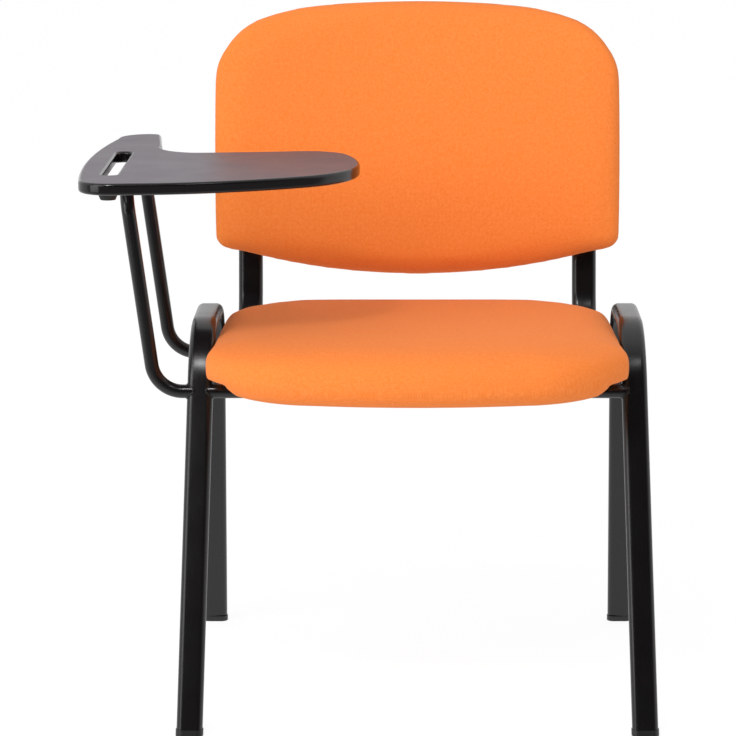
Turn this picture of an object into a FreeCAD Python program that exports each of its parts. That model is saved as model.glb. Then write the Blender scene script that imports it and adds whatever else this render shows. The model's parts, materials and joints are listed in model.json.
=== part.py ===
import FreeCAD, Part
import math
import os
import Sketcher
from FreeCAD import Placement, Rotation, Vector

# Stacking visitor chair with a fold-up writing tablet.
# Frame: X across the chair (the tablet is on the -X side), -Y to the front, +Z up.
# The origin is on the floor, midway between the four feet. Lengths in mm, angles in degrees.

# Driving sizes: name, value, what it is.
DRIVING_SIZES = [
    ("frame_width", 550.0, "over the feet, side to side"),
    ("bar_y", 118.155, "centre of a cross bar, ahead of or behind the origin"),
    ("hoop_rise", 51.0, "top of the side hoops above the seat board's underside"),
    ("leg_lean", 18.0, "angle of the legs, seen from the side"),
    ("leg_splay", 1.4, "angle by which the hoops lean in at the top, seen from the front"),
    ("hoop_bend", 80.0, "bend radius of the hoops, on the centre line"),
    ("tube_width", 30.0, "flat oval tube, wide way"),
    ("tube_depth", 15.0, "flat oval tube, narrow way"),
    ("tube_wall", 1.5, "flat oval tube wall"),
    ("bar_diameter", 16.0, "round cross bars under the seat"),
    ("bar_wall", 1.5, "wall of the round cross bars"),
    ("bar_reach", 9.0, "how far a round tube reaches into the coped joint at a leg"),
    ("weld_gap", 0.15, "gap left round a coped end"),
    ("glide_height", 7.0, "height of a foot glide under the tube"),
    ("glide_rim", 0.8, "how far a glide stands proud of the tube"),
    ("plug_play", 0.2, "play of a plastic plug in its tube"),
    ("plug_reach", 16.0, "how far a plug reaches into its tube"),
    ("plug_head", 3.0, "thickness of a plug's head"),
    ("board_underside", 398.0, "underside of the seat board above the floor"),
    ("carrier_inset", 29.5, "centre of a seat and back tube, in from the seat pad's widest edge"),
    ("carrier_reach", 19.85, "front end of the seat and back tubes, ahead of the front cross bar"),
    ("carrier_corner", 183.0, "where the run under the seat meets the upright, behind the origin"),
    ("carrier_bend", 60.0, "bend radius of the seat and back tubes"),
    ("back_lean", 10.0, "angle of the uprights from the vertical"),
    ("upright_length", 300.0, "from the corner to the upright's top end"),
    ("seat_side_gap", 8.0, "seat pad's widest edge, in from the legs' inner faces at the floor"),
    ("seat_depth", 422.0, "seat pad front to rear"),
    ("seat_rear", 165.0, "rear edge of the seat pad, behind the origin"),
    ("seat_board_thick", 10.0, "plywood seat board"),
    ("seat_board_inset", 12.0, "seat board's edge inside the pad's edge"),
    ("seat_pad_height", 47.0, "crown of the seat pad above its rim"),
    ("seat_rim_lift", 1.6, "rim of the seat pad above the board's underside"),
    ("soft_gap", 0.5, "gap between a pad and the board in it"),
    ("back_overhang", 42.5, "back pad beyond the centre of an upright"),
    ("back_height", 342.0, "back pad, measured along its lean"),
    ("back_start", 68.5, "lower edge of the back pad, from the corner along the upright"),
    ("back_curve", 900.0, "radius of the back board's front face"),
    ("back_board_thick", 9.0, "plywood back board"),
    ("back_board_inset", 10.0, "back board's edge inside the pad's edge"),
    ("back_pad_height", 34.0, "crown of the back pad above the back board"),
    ("shell_thick", 3.0, "moulded rear cover"),
    ("shell_gap", 0.2, "gap between the back board and the rear cover"),
    ("shell_inset", 5.0, "rear cover's edge inside the pad's edge"),
    ("boss_height", 4.0, "seats of the uprights on the rear cover, at the tube's middle"),
    ("boss_width", 36.0, "width of those seats"),
    ("boss_length", 168.0, "length of those seats"),
    ("bolt_diameter", 6.0, "bolts of the seat and the back"),
    ("bolt_play", 0.3, "radial play round a bolt"),
    ("bolt_head_diameter", 11.0, "head of a bolt"),
    ("bolt_head_height", 3.5, "height of a bolt's head"),
    ("socket_width", 4.0, "hexagon socket, across the flats"),
    ("socket_depth", 2.0, "depth of the hexagon socket"),
    ("seat_bolt_length", 24.0, "bolts up into the seat board"),
    ("back_bolt_length", 28.0, "bolts through the uprights into the back board"),
    ("seat_rear_bolt_length", 40.0, "bolts up through the rear cross bar into the seat board"),
    ("seat_bolt_setback", 38.0, "front seat bolts, behind the front cross bar"),
    ("seat_rear_bolt_inset", 57.5, "the rear cross bar's bolts, in from the tubes beside them"),
    ("back_bolt_low", 130.0, "lower back bolts, from the corner along the upright"),
    ("back_bolt_high", 250.0, "upper back bolts, from the corner along the upright"),
    ("tee_flange_diameter", 16.0, "flange of a tee nut"),
    ("tee_flange_thick", 1.2, "thickness of that flange"),
    ("tee_barrel_diameter", 8.0, "barrel of a tee nut"),
    ("tee_barrel_length", 4.0, "length of that barrel"),
    ("tee_play", 0.2, "radial play of a tee nut in its board"),
    ("tee_sink", 2.6, "how far the back's tee nuts are sunk at the middle of the flange"),
    ("arm_diameter", 16.0, "round tube of the tablet arm"),
    ("arm_wall", 1.5, "wall of that tube"),
    ("arm_low_overhang", 42.3, "where the arm's low runs meet its legs, outside the hoop's feet"),
    ("arm_spread", 31.0, "how far the arm's legs lean out from foot to top"),
    ("arm_low_bend", 36.0, "bend radius at the foot of the arm's legs"),
    ("arm_top_bend", 30.0, "bend radius at the top of the arm's legs"),
    ("hinge_rise", 212.9, "tablet hinge axis above the seat board's underside"),
    ("plate_thick", 3.0, "steel stop plate"),
    ("spacer_diameter", 12.0, "sleeves between the seat board and the rear cross bar"),
    ("spacer_gap", 0.1, "end play of a sleeve"),
    ("tablet_overhang", 50.2, "outer edge of the tablet, outside the hinge axis"),
    ("tablet_width", 317.5, "tablet across"),
    ("tablet_reach", 130.845, "front edge of the tablet, ahead of the arm's front leg"),
    ("tablet_depth", 444.0, "tablet front to rear"),
    ("tablet_thick", 13.5, "thickness of the tablet board"),
    ("slot_offset", 12.7, "middle of the grip slot, outside the hinge axis"),
    ("slot_setback", 71.0, "front end of the grip slot, behind the tablet's front edge"),
    ("slot_length", 203.0, "length of the grip slot"),
    ("slot_width", 17.0, "width of the grip slot"),
    ("leaf_thick", 2.5, "steel of the hinge leaves"),
    ("leaf_width", 24.0, "hinge leaf along its axis"),
    ("leaf_length", 44.0, "hinge leaf, from the axis to its end"),
    ("hinge_play", 0.05, "radial play of a rolled eye on the arm"),
    ("leaf_setback", 70.0, "middle of a hinge leaf, from the arm's leg beside it"),
    ("screw_diameter", 4.0, "wood screws of the tablet"),
    ("screw_length", 11.0, "length of those screws, from the head's face"),
    ("screw_head_diameter", 7.6, "countersunk head of those screws"),
    ("screw_play", 0.1, "radial play round a wood screw"),
    ("screw_pitch", 14.0, "the two screws of a hinge leaf, along the axis"),
    ("screw_reach", 30.0, "those screws, from the hinge axis"),
    ("stop_width", 40.0, "stop plate, along the hinge axis"),
    ("stop_length", 44.0, "stop plate, from the hinge axis to its end"),
    ("buffer_diameter", 14.0, "rubber stop buffers"),
    ("buffer_reach", 34.0, "stop buffers, from the hinge axis"),
    ("buffer_pitch", 22.0, "stop buffers, centre to centre"),
    ("rest_gap", 0.3, "gap between the tablet and its stop buffers"),
    ("bumper_diameter", 24.5, "rubber bumper under the tablet's front corner"),
    ("bumper_tip", 17.0, "diameter of the bumper's lower face"),
    ("bumper_height", 9.0, "height of the bumper"),
    ("bumper_offset", 10.2, "middle of the bumper, outside the hinge axis"),
    ("bumper_setback", 35.0, "middle of the bumper, behind the tablet's front edge"),
    ("overrun", 6.0, "how far a cut runs past the face that it starts from"),
]

# Sizes that follow from the driving ones.
DERIVED_SIZES = [
    ("leg_foot_x", "frame_width / 2 - tube_width / 2"),
    ("hoop_height", "board_underside + hoop_rise"),
    ("seat_width", "2 * (leg_foot_x - tube_width / 2 - seat_side_gap)"),
    ("seat_front", "seat_depth - seat_rear"),
    ("carrier_spacing", "seat_width - 2 * carrier_inset"),
    ("back_width", "carrier_spacing + 2 * back_overhang"),
    ("bar_z", "board_underside - tube_depth - bar_diameter / 2"),
    ("foot_spacing", "2 * (bar_y + bar_z * tan(leg_lean * 1deg))"),
    ("carrier_front", "bar_y + carrier_reach"),
    ("arm_root", "leg_foot_x - bar_z * tan(leg_splay * 1deg) + tube_width / 2 - bar_reach"),
    ("arm_low_reach", "leg_foot_x + arm_low_overhang"),
    ("arm_top_reach", "arm_low_reach + arm_spread"),
    ("hinge_height", "board_underside + hinge_rise"),
    ("seat_bolt_front", "bar_y - seat_bolt_setback"),
    ("seat_rear_bolt_reach", "carrier_spacing / 2 - seat_rear_bolt_inset"),
    ("tablet_outer", "arm_top_reach + tablet_overhang"),
    ("tablet_front", "bar_y + tablet_reach"),
    ("slot_reach", "arm_top_reach + slot_offset"),
    ("slot_front", "tablet_front - slot_setback"),
    ("leaf_place", "bar_y - leaf_setback"),
    ("bumper_reach", "arm_top_reach + bumper_offset"),
    ("bumper_front", "tablet_front - bumper_setback"),
    ("bar_half_length", "leg_foot_x - bar_z * tan(leg_splay * 1deg) - tube_width / 2 + bar_reach"),
    ("carrier_z", "board_underside - tube_depth / 2"),
    ("hoop_top", "(hoop_height - tube_depth / 2) / cos(leg_splay * 1deg)"),
    ("hoop_corner_y", "foot_spacing / 2 - hoop_top * tan(leg_lean * 1deg)"),
    ("foot_end_y", "foot_spacing / 2 + overrun * tan(leg_lean * 1deg)"),
    ("hoop_cut_z", "glide_height / cos(leg_splay * 1deg)"),
    ("hoop_cut_rise", "tube_width * tan(leg_splay * 1deg)"),
    ("upright_end_y", "carrier_corner + upright_length * sin(back_lean * 1deg)"),
    ("upright_end_z", "carrier_z + upright_length * cos(back_lean * 1deg)"),
    ("shell_curve", "back_curve + back_board_thick + shell_gap + shell_thick"),
    ("shell_inner_curve", "back_curve + back_board_thick + shell_gap"),
    ("back_axis_y", "-tube_depth / 2 - boss_height - sqrt(shell_curve ^ 2 - (carrier_spacing / 2) ^ 2)"),
    ("hole_diameter", "bolt_diameter + 2 * bolt_play"),
    ("tee_hole_diameter", "tee_barrel_diameter + 2 * tee_play"),
    ("tee_recess_diameter", "tee_flange_diameter + 2 * tee_play"),
    ("tablet_under", "hinge_height + arm_diameter / 2 + hinge_play + leaf_thick"),
    ("seat_overhang", "seat_front - carrier_front - plug_head"),
]

# Outlines, as shares of the half width and of the length, for one half of a pad. The ends and the
# corners are arcs through three points, and the sides are straight.
SEAT_OUTLINE_SHARES = {
    "front_end": (0.532, 0.023), "front_corner": (0.869, 0.102), "front_side": (1.00, 0.202),
    "rear_side": (0.95, 0.800), "rear_corner": (0.845, 0.921), "rear_end": (0.605, 0.996),
}
BACK_OUTLINE_SHARES = {
    "front_end": (0.90, 0.095), "front_corner": (0.975, 0.112), "front_side": (1.00, 0.147),
    "rear_side": (0.99, 0.720), "rear_corner": (0.897, 0.887), "rear_end": (0.736, 0.951),
}

# The tablet's outline, as shares of its width and depth from its outer front corner. Each step is an
# arc through a point, or a straight line, to the next corner.
TABLET_START_SHARE = (0.024, 0.068)
TABLET_STEP_SHARES = [
    ("arc", (0.000, 0.369), (0.055, 0.901)),
    ("arc", (0.083, 0.971), (0.150, 1.000)),
    ("line", None, (0.181, 1.000)),
    ("arc", (0.205, 0.993), (0.214, 0.977)),
    ("line", None, (0.244, 0.741)),
    ("arc", (0.282, 0.642), (0.383, 0.599)),
    ("arc", (0.609, 0.615), (0.767, 0.632)),
    ("arc", (0.866, 0.624), (0.943, 0.579)),
    ("arc", (0.985, 0.479), (1.000, 0.358)),
    ("arc", (0.941, 0.223), (0.795, 0.128)),
    ("arc", (0.567, 0.055), (0.326, 0.011)),
    ("line", None, (0.153, 0.000)),
    ("arc", (0.058, 0.020), (0.024, 0.068)),
]

# Levels of the seat pad from its rim to its crown, as shares of the pad's height: how far the
# outline is drawn in, then the level's height at its rear edge and at its front edge. The lower
# levels tilt, so that the front rolls over and hangs below the board.
SEAT_LEVEL_SHARES = [
    (0.420, 0.000, -0.428),
    (0.160, 0.095, -0.315),
    (0.040, 0.220, -0.100),
    (0.005, 0.350, 0.130),
    (0.012, 0.490, 0.370),
    (0.060, 0.606, 0.580),
    (0.178, 0.680, 0.735),
    (0.394, 0.732, 0.838),
    (0.750, 0.770, 0.905),
    (1.200, 0.796, 0.947),
    (1.700, 0.812, 0.973),
    (2.250, 0.822, 0.988),
    (2.900, 0.828, 0.997),
]

# How far back the hanging front lip reaches, as a share of the seat's length ahead of its tubes.
SEAT_LIP_SHARE = 0.473

# Stations of the back pad from its middle to one side: share of the half width, share of the crown.
BACK_STATION_SHARES = [
    (0.000, 1.000),
    (0.350, 0.995),
    (0.650, 0.980),
    (0.830, 0.940),
    (0.930, 0.840),
    (0.975, 0.700),
    (0.990, 0.580),
]

# Where the faces of a pad's cross-section turn, as shares of its thickness.
RIM_INSET_SHARE = 0.18
BULGE_SHARE = 0.42
EDGE_INSET_SHARE = 0.42
EDGE_HEIGHT_SHARE = 0.84

# Degree of the pads' skins between their stations.
LOFT_DEGREE = 3

doc = FreeCAD.newDocument("WritingTabletChair")
sheet = doc.addObject("Spreadsheet::Sheet", "Sizes")
nodes = {}


def fill_sheet():
    """Write every size into the sheet, each under its own alias."""
    rows = [(name, str(value), meaning) for name, value, meaning in DRIVING_SIZES]
    rows += [(name, "=" + formula, "worked out") for name, formula in DERIVED_SIZES]
    for row, (name, content, meaning) in enumerate(rows, start=1):
        sheet.set(f"A{row}", name)
        sheet.set(f"B{row}", content)
        sheet.set(f"C{row}", meaning)
        sheet.setAlias(f"B{row}", name)
    doc.recompute()


def size(name):
    """A size from the sheet, as a number."""
    value = getattr(sheet, name)
    return float(getattr(value, "Value", value))


def bind(obj, **formulas):
    """Bind properties of an object to formulas on the sheet; __ in a name stands for a dot."""
    for name, formula in formulas.items():
        obj.setExpression(name.replace("__", "."), formula)


def keep(name, obj):
    """Name a finished piece; its label is also the name of its file."""
    obj.Label = name
    nodes[name] = obj
    return obj


def shaped(name, shape, placement=None):
    """A piece whose shape is worked out with Part's own functions."""
    obj = doc.addObject("Part::Feature", name)
    obj.Shape = shape
    if placement is not None:
        obj.Placement = placement
    return obj


def new_body(name):
    body = doc.addObject("PartDesign::Body", name)
    body.Label = name
    return body


def new_sketch(body, name, role):
    """A sketch on one of the body's own origin planes."""
    sketch = body.newObject("Sketcher::SketchObject", name)
    plane = [item for item in body.Origin.OriginFeatures if item.Role == role][0]
    sketch.AttachmentSupport = (plane, "")
    sketch.MapMode = "FlatFace"
    doc.recompute()
    return sketch


def pin_point(sketch, geometry, position, formulas):
    """Hold a point of a sketch at two formulas, measured from the sketch's origin."""
    for kind, formula in zip(("DistanceX", "DistanceY"), formulas):
        value = float(sketch.evalExpression(formula))
        index = sketch.addConstraint(
            Sketcher.Constraint(kind, -1, 1, geometry, position, value)
        )
        sketch.setExpression(f"Constraints[{index}]", formula)


def spot(sketch, formulas):
    return Vector(*[float(sketch.evalExpression(f)) for f in formulas], 0)


def end_positions(sketch, geometry, start):
    """Which ends of a line or an arc are its first and its last point on the way round."""
    first = 1 if (sketch.getPoint(geometry, 1) - start).Length < (sketch.getPoint(geometry, 2) - start).Length else 2
    return first, 3 - first


def draw_outline(sketch, start, steps):
    """A closed outline of lines and three-point arcs, every corner held by a formula."""
    drawn = []
    here = start
    for kind, through, there in steps:
        a = spot(sketch, here)
        b = spot(sketch, there)
        if kind == "arc":
            index = sketch.addGeometry(Part.Arc(a, spot(sketch, through), b), False)
        else:
            index = sketch.addGeometry(Part.LineSegment(a, b), False)
        first, last = end_positions(sketch, index, a)
        drawn.append((index, first, last, here, through))
        here = there
    for (index, first, last, _, _), follower in zip(drawn, drawn[1:] + drawn[:1]):
        sketch.addConstraint(
            Sketcher.Constraint("Coincident", index, last, follower[0], follower[1])
        )
    for index, first, _, corner, through in drawn:
        pin_point(sketch, index, first, corner)
        if through is not None:
            mark = sketch.addGeometry(Part.Point(spot(sketch, through)), True)
            sketch.addConstraint(Sketcher.Constraint("PointOnObject", mark, 1, index))
            pin_point(sketch, mark, 1, through)


def draw_circle(sketch, diameter, x="0 * 1", y="0 * 1"):
    centre = spot(sketch, (x, y))
    radius = float(sketch.evalExpression(diameter)) / 2
    index = sketch.addGeometry(Part.Circle(centre, Vector(0, 0, 1), radius), False)
    pin_point(sketch, index, 3, (x, y))
    size_index = sketch.addConstraint(Sketcher.Constraint("Diameter", index, 2 * radius))
    sketch.setExpression(f"Constraints[{size_index}]", diameter)


def draw_rectangle(sketch, low_x, low_y, high_x, high_y):
    steps = [
        ("line", None, (high_x, low_y)),
        ("line", None, (high_x, high_y)),
        ("line", None, (low_x, high_y)),
        ("line", None, (low_x, low_y)),
    ]
    draw_outline(sketch, (low_x, low_y), steps)


def draw_flat_oval(sketch, width, depth, y="0 * 1"):
    """A flat oval: two straight sides joined by half-round ends."""
    flat = f"(({width}) - ({depth})) / 2"
    low = f"{y} - ({depth}) / 2"
    high = f"{y} + ({depth}) / 2"
    steps = [
        ("line", None, (flat, low)),
        ("arc", (f"({width}) / 2", y), (flat, high)),
        ("line", None, (f"-{flat}", high)),
        ("arc", (f"-({width}) / 2", y), (f"-{flat}", low)),
    ]
    draw_outline(sketch, (f"-{flat}", low), steps)


def draw_bent_path(sketch, points, radius):
    """An open path of straight runs joined by tangent arcs of one radius."""
    spots = [spot(sketch, point) for point in points]
    bend = float(sketch.evalExpression(radius))
    runs = []
    arcs = []
    here = spots[0]
    for before, corner, after in zip(spots, spots[1:], spots[2:]):
        into = (corner - before).normalize()
        out = (after - corner).normalize()
        reach = bend * math.tan(into.getAngle(out) / 2)
        start = corner - into * reach
        finish = corner + out * reach
        centre = corner + (out - into).normalize() * math.hypot(reach, bend)
        middle = centre + (corner - centre).normalize() * bend
        runs.append((sketch.addGeometry(Part.LineSegment(here, start), False), here))
        arcs.append((sketch.addGeometry(Part.Arc(start, middle, finish), False), start))
        here = finish
    runs.append((sketch.addGeometry(Part.LineSegment(here, spots[-1]), False), here))
    for number, (arc, start) in enumerate(arcs):
        first, last = end_positions(sketch, arc, start)
        before, after = runs[number][0], runs[number + 1][0]
        sketch.addConstraint(Sketcher.Constraint("Tangent", before, 2, arc, first))
        sketch.addConstraint(Sketcher.Constraint("Tangent", arc, last, after, 1))
        index = sketch.addConstraint(Sketcher.Constraint("Radius", arc, bend))
        sketch.setExpression(f"Constraints[{index}]", radius)
        mark = sketch.addGeometry(Part.Point(spots[number + 1]), True)
        sketch.addConstraint(Sketcher.Constraint("PointOnObject", mark, 1, before))
        sketch.addConstraint(Sketcher.Constraint("PointOnObject", mark, 1, after))
        pin_point(sketch, mark, 1, points[number + 1])
    pin_point(sketch, runs[0][0], 1, points[0])
    pin_point(sketch, runs[-1][0], 2, points[-1])


def pad(body, sketch, length, name, symmetric=False, back=False):
    feature = body.newObject("PartDesign::Pad", name)
    feature.Profile = sketch
    feature.Reversed = back
    feature.Midplane = symmetric
    bind(feature, Length=length)
    doc.recompute()
    return feature


def cut_through(body, sketch, name):
    """Pocket a sketch through the whole body, to both sides of its plane."""
    before = body.Shape.Volume
    feature = body.newObject("PartDesign::Pocket", name)
    feature.Profile = sketch
    feature.Type = "ThroughAll"
    feature.Midplane = True
    doc.recompute()
    if not body.Shape.Volume < before:
        raise ValueError(f"{name} cuts nothing")
    return feature


def sweep(body, section, path, name):
    feature = body.newObject("PartDesign::AdditivePipe", name)
    feature.Profile = section
    feature.Spine = (path, [f"Edge{n + 1}" for n in range(len(path.Shape.Edges))])
    doc.recompute()
    return feature


def bent_wire(points, radii):
    """A wire in space: straight runs joined by tangent arcs."""
    edges = []
    here = points[0]
    for before, corner, after, bend in zip(points, points[1:], points[2:], radii):
        into = (corner - before).normalize()
        out = (after - corner).normalize()
        reach = bend * math.tan(into.getAngle(out) / 2)
        start = corner - into * reach
        finish = corner + out * reach
        centre = corner + (out - into).normalize() * math.hypot(reach, bend)
        middle = centre + (corner - centre).normalize() * bend
        edges.append(Part.LineSegment(here, start).toShape())
        edges.append(Part.Arc(start, middle, finish).toShape())
        here = finish
    edges.append(Part.LineSegment(here, points[-1]).toShape())
    return Part.Wire(edges)


def flat_oval_wire(width, depth):
    """The flat oval's outline on the XY plane, wide along X."""
    flat = (width - depth) / 2
    r = depth / 2
    right_low, right, right_high = Vector(flat, -r, 0), Vector(flat + r, 0, 0), Vector(flat, r, 0)
    left_high, left, left_low = Vector(-flat, r, 0), Vector(-flat - r, 0, 0), Vector(-flat, -r, 0)
    return Part.Wire([
        Part.LineSegment(left_low, right_low).toShape(),
        Part.Arc(right_low, right, right_high).toShape(),
        Part.LineSegment(right_high, left_high).toShape(),
        Part.Arc(left_high, left, left_low).toShape(),
    ])


def hoop_placement(side):
    """The side hoops stand on their feet and lean in at the top; side is -1 or 1."""
    return Placement(
        Vector(side * size("leg_foot_x"), 0, 0),
        Rotation(Vector(0, 1, 0), -side * size("leg_splay")),
    )


def hoop_body(name, side, hollow):
    """One side hoop: a leg up, a bend, the top run, a bend and a leg down."""
    body = new_body(name)
    path = new_sketch(body, name + "_path", "YZ_Plane")
    half = "Sizes.foot_end_y"
    corner = "Sizes.hoop_corner_y"
    draw_bent_path(
        path,
        [
            (f"-{half}", "-Sizes.overrun"),
            (f"-{corner}", "Sizes.hoop_top"),
            (corner, "Sizes.hoop_top"),
            (half, "-Sizes.overrun"),
        ],
        "Sizes.hoop_bend",
    )
    section = new_sketch(body, name + "_section", "XY_Plane")
    section.AttachmentOffset = Placement(
        Vector(0, -size("foot_end_y"), -size("overrun")),
        Rotation(Vector(1, 0, 0), -size("leg_lean")),
    )
    bind(
        section,
        AttachmentOffset__Base__y="-Sizes.foot_end_y",
        AttachmentOffset__Base__z="-Sizes.overrun",
        AttachmentOffset__Rotation__Angle="-Sizes.leg_lean",
    )
    if hollow:
        draw_flat_oval(section, "Sizes.tube_width", "Sizes.tube_depth")
        draw_flat_oval(
            section,
            "Sizes.tube_width - 2 * Sizes.tube_wall",
            "Sizes.tube_depth - 2 * Sizes.tube_wall",
        )
    else:
        draw_flat_oval(
            section,
            "Sizes.tube_width + 2 * Sizes.weld_gap",
            "Sizes.tube_depth + 2 * Sizes.weld_gap",
        )
    doc.recompute()
    sweep(body, section, path, name + "_tube")
    if hollow:
        floor_cut = new_sketch(body, name + "_floor", "XZ_Plane")
        reach = "Sizes.tube_width"
        rise = "Sizes.hoop_cut_rise" if side > 0 else "-Sizes.hoop_cut_rise"
        deep = "-(Sizes.overrun + Sizes.tube_width)"
        draw_outline(
            floor_cut,
            (f"-{reach}", deep),
            [
                ("line", None, (reach, deep)),
                ("line", None, (reach, f"Sizes.hoop_cut_z - {rise}")),
                ("line", None, (f"-{reach}", f"Sizes.hoop_cut_z + {rise}")),
                ("line", None, (f"-{reach}", deep)),
            ],
        )
        doc.recompute()
        cut_through(body, floor_cut, name + "_level")
    body.Placement = hoop_placement(side)
    return body


def leg_prism(width, depth, front, below, above):
    """A flat oval prism along a leg's axis; front is -1 for a front leg and 1 for a rear one."""
    lean = size("leg_lean")
    foot = Vector(0, front * size("foot_spacing") / 2, 0)
    along = Vector(0, -front * math.sin(math.radians(lean)), math.cos(math.radians(lean)))
    wire = flat_oval_wire(width, depth)
    wire.Placement = Placement(foot - along * below, Rotation(Vector(1, 0, 0), front * lean))
    return Part.Face(wire).extrude(along * (below + above))


def make_glide(name, side, front):
    """A moulded foot: a level sole as wide as the tube and a little over, and a spigot in the tube."""
    rim = size("glide_rim")
    wall = size("tube_wall") + size("plug_play")
    width, depth = size("tube_width"), size("tube_depth")
    height, reach, overrun = size("glide_height"), size("plug_reach"), size("overrun")
    sole = leg_prism(width + 2 * rim, depth + 2 * rim, front, depth, depth + height)
    spigot = leg_prism(width - 2 * wall, depth - 2 * wall, front, 0, height + reach)
    sole.Placement = hoop_placement(side).multiply(sole.Placement)
    spigot.Placement = hoop_placement(side).multiply(spigot.Placement)
    big = size("foot_spacing") + size("frame_width")
    corner = Vector(-big, -big, 0)
    slab = Part.makeBox(2 * big, 2 * big, height, corner)
    upper = Part.makeBox(2 * big, 2 * big, height + reach + overrun, corner + Vector(0, 0, height))
    glide = sole.common(slab).fuse(spigot.common(upper)).removeSplitter()
    keep(name, shaped(name, glide))


def make_crossbar(name, front, cores):
    """A round tube between the two hoops, its ends coped to the legs; the rear one is drilled."""
    body = new_body(name + "_bar")
    sketch = new_sketch(body, name + "_section", "YZ_Plane")
    y = "-Sizes.bar_y" if front < 0 else "Sizes.bar_y"
    draw_circle(sketch, "Sizes.bar_diameter", y, "Sizes.bar_z")
    draw_circle(sketch, "Sizes.bar_diameter - 2 * Sizes.bar_wall", y, "Sizes.bar_z")
    pad(body, sketch, "2 * Sizes.bar_half_length", name + "_pad", symmetric=True)
    if front > 0:
        holes = new_sketch(body, name + "_holes", "XY_Plane")
        for x in ("-Sizes.seat_rear_bolt_reach", "Sizes.seat_rear_bolt_reach"):
            draw_circle(holes, "Sizes.hole_diameter", x, y)
        doc.recompute()
        cut_through(body, holes, name + "_drill")
    shape = body.Shape.cut(cores[0].Shape).cut(cores[1].Shape)
    middle = max(shape.Solids, key=lambda solid: solid.Volume)
    return keep(name, shaped(name, middle))


def back_placement():
    """The back's own frame: its origin at the corner of the seat and back tubes, Z along the uprights."""
    return Placement(
        Vector(0, size("carrier_corner"), size("carrier_z")),
        Rotation(Vector(1, 0, 0), -size("back_lean")),
    )


def make_carrier(name, side):
    """A seat and back tube: it runs under the seat board, bends and rises behind the back."""
    body = new_body(name + "_tube")
    path = new_sketch(body, name + "_path", "YZ_Plane")
    draw_bent_path(
        path,
        [
            ("-Sizes.carrier_front", "Sizes.carrier_z"),
            ("Sizes.carrier_corner", "Sizes.carrier_z"),
            ("Sizes.upright_end_y", "Sizes.upright_end_z"),
        ],
        "Sizes.carrier_bend",
    )
    section = new_sketch(body, name + "_section", "XZ_Plane")
    section.AttachmentOffset = Placement(Vector(0, 0, size("carrier_front")), Rotation())
    bind(section, AttachmentOffset__Base__z="Sizes.carrier_front")
    draw_flat_oval(section, "Sizes.tube_width", "Sizes.tube_depth", "Sizes.carrier_z")
    draw_flat_oval(
        section,
        "Sizes.tube_width - 2 * Sizes.tube_wall",
        "Sizes.tube_depth - 2 * Sizes.tube_wall",
        "Sizes.carrier_z",
    )
    doc.recompute()
    sweep(body, section, path, name + "_pipe")
    holes = new_sketch(body, name + "_seat_hole", "XY_Plane")
    draw_circle(holes, "Sizes.hole_diameter", y="-Sizes.seat_bolt_front")
    doc.recompute()
    cut_through(body, holes, name + "_seat_drill")
    body.Placement = Placement(Vector(side * size("carrier_spacing") / 2, 0, 0), Rotation())
    doc.recompute()
    drills = [
        back_bolt_cylinder(side, height, size("hole_diameter") / 2)
        for height in (size("back_bolt_low"), size("back_bolt_high"))
    ]
    return keep(name, shaped(name, body.Shape.cut(drills)))


def back_bolt_cylinder(side, height, radius):
    """A cylinder through the back along one bolt's axis, square to the upright."""
    reach = size("tube_depth") + size("back_bolt_length")
    start = Vector(side * size("carrier_spacing") / 2, reach, height)
    cylinder = Part.makeCylinder(radius, 2 * reach, start, Vector(0, -1, 0))
    cylinder.Placement = back_placement().multiply(cylinder.Placement)
    return cylinder


def make_tube_plug(name, placement):
    """A moulded plug that closes a flat oval tube: a head over the end and a spigot inside."""
    body = new_body(name)
    head = new_sketch(body, name + "_head", "XY_Plane")
    draw_flat_oval(head, "Sizes.tube_width", "Sizes.tube_depth")
    doc.recompute()
    pad(body, head, "Sizes.plug_head", name + "_cap")
    inside = "2 * (Sizes.tube_wall + Sizes.plug_play)"
    spigot = new_sketch(body, name + "_spigot", "XY_Plane")
    draw_flat_oval(spigot, f"Sizes.tube_width - {inside}", f"Sizes.tube_depth - {inside}")
    doc.recompute()
    pad(body, spigot, "Sizes.plug_reach", name + "_stem", back=True)
    body.Placement = placement
    keep(name, body)


def outline_steps(shares, half, length, start):
    """Steps of a pad's outline on both sides of its middle line, as formulas."""

    def point(side, key):
        across, along = shares[key]
        return f"{side * across} * ({half})", f"({start}) + {along} * ({length})"

    front, rear = ("0 * 1", start), ("0 * 1", f"({start}) + ({length})")
    steps = [
        ("arc", front, point(1, "front_end")),
        ("arc", point(1, "front_corner"), point(1, "front_side")),
        ("line", None, point(1, "rear_side")),
        ("arc", point(1, "rear_corner"), point(1, "rear_end")),
        ("arc", rear, point(-1, "rear_end")),
        ("arc", point(-1, "rear_corner"), point(-1, "rear_side")),
        ("line", None, point(-1, "front_side")),
        ("arc", point(-1, "front_corner"), point(-1, "front_end")),
    ]
    return point(-1, "front_end"), steps


def seat_outline(sketch, inset):
    start, steps = outline_steps(
        SEAT_OUTLINE_SHARES,
        f"Sizes.seat_width / 2 - {inset}",
        f"Sizes.seat_depth - 2 * {inset}",
        f"-Sizes.seat_front + {inset}",
    )
    draw_outline(sketch, start, steps)


def back_outline(sketch, inset):
    start, steps = outline_steps(
        BACK_OUTLINE_SHARES,
        f"Sizes.back_width / 2 - {inset}",
        f"Sizes.back_height - 2 * {inset}",
        f"Sizes.back_start + {inset}",
    )
    draw_outline(sketch, start, steps)


def seat_bolt_places():
    """Where the seat bolts stand: x, y, the height of the face under each head, as formulas."""
    half, under = "Sizes.carrier_spacing / 2", "Sizes.board_underside - Sizes.tube_depth"
    return [
        (half, "-Sizes.seat_bolt_front", under),
        (f"-{half}", "-Sizes.seat_bolt_front", under),
    ]


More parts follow.
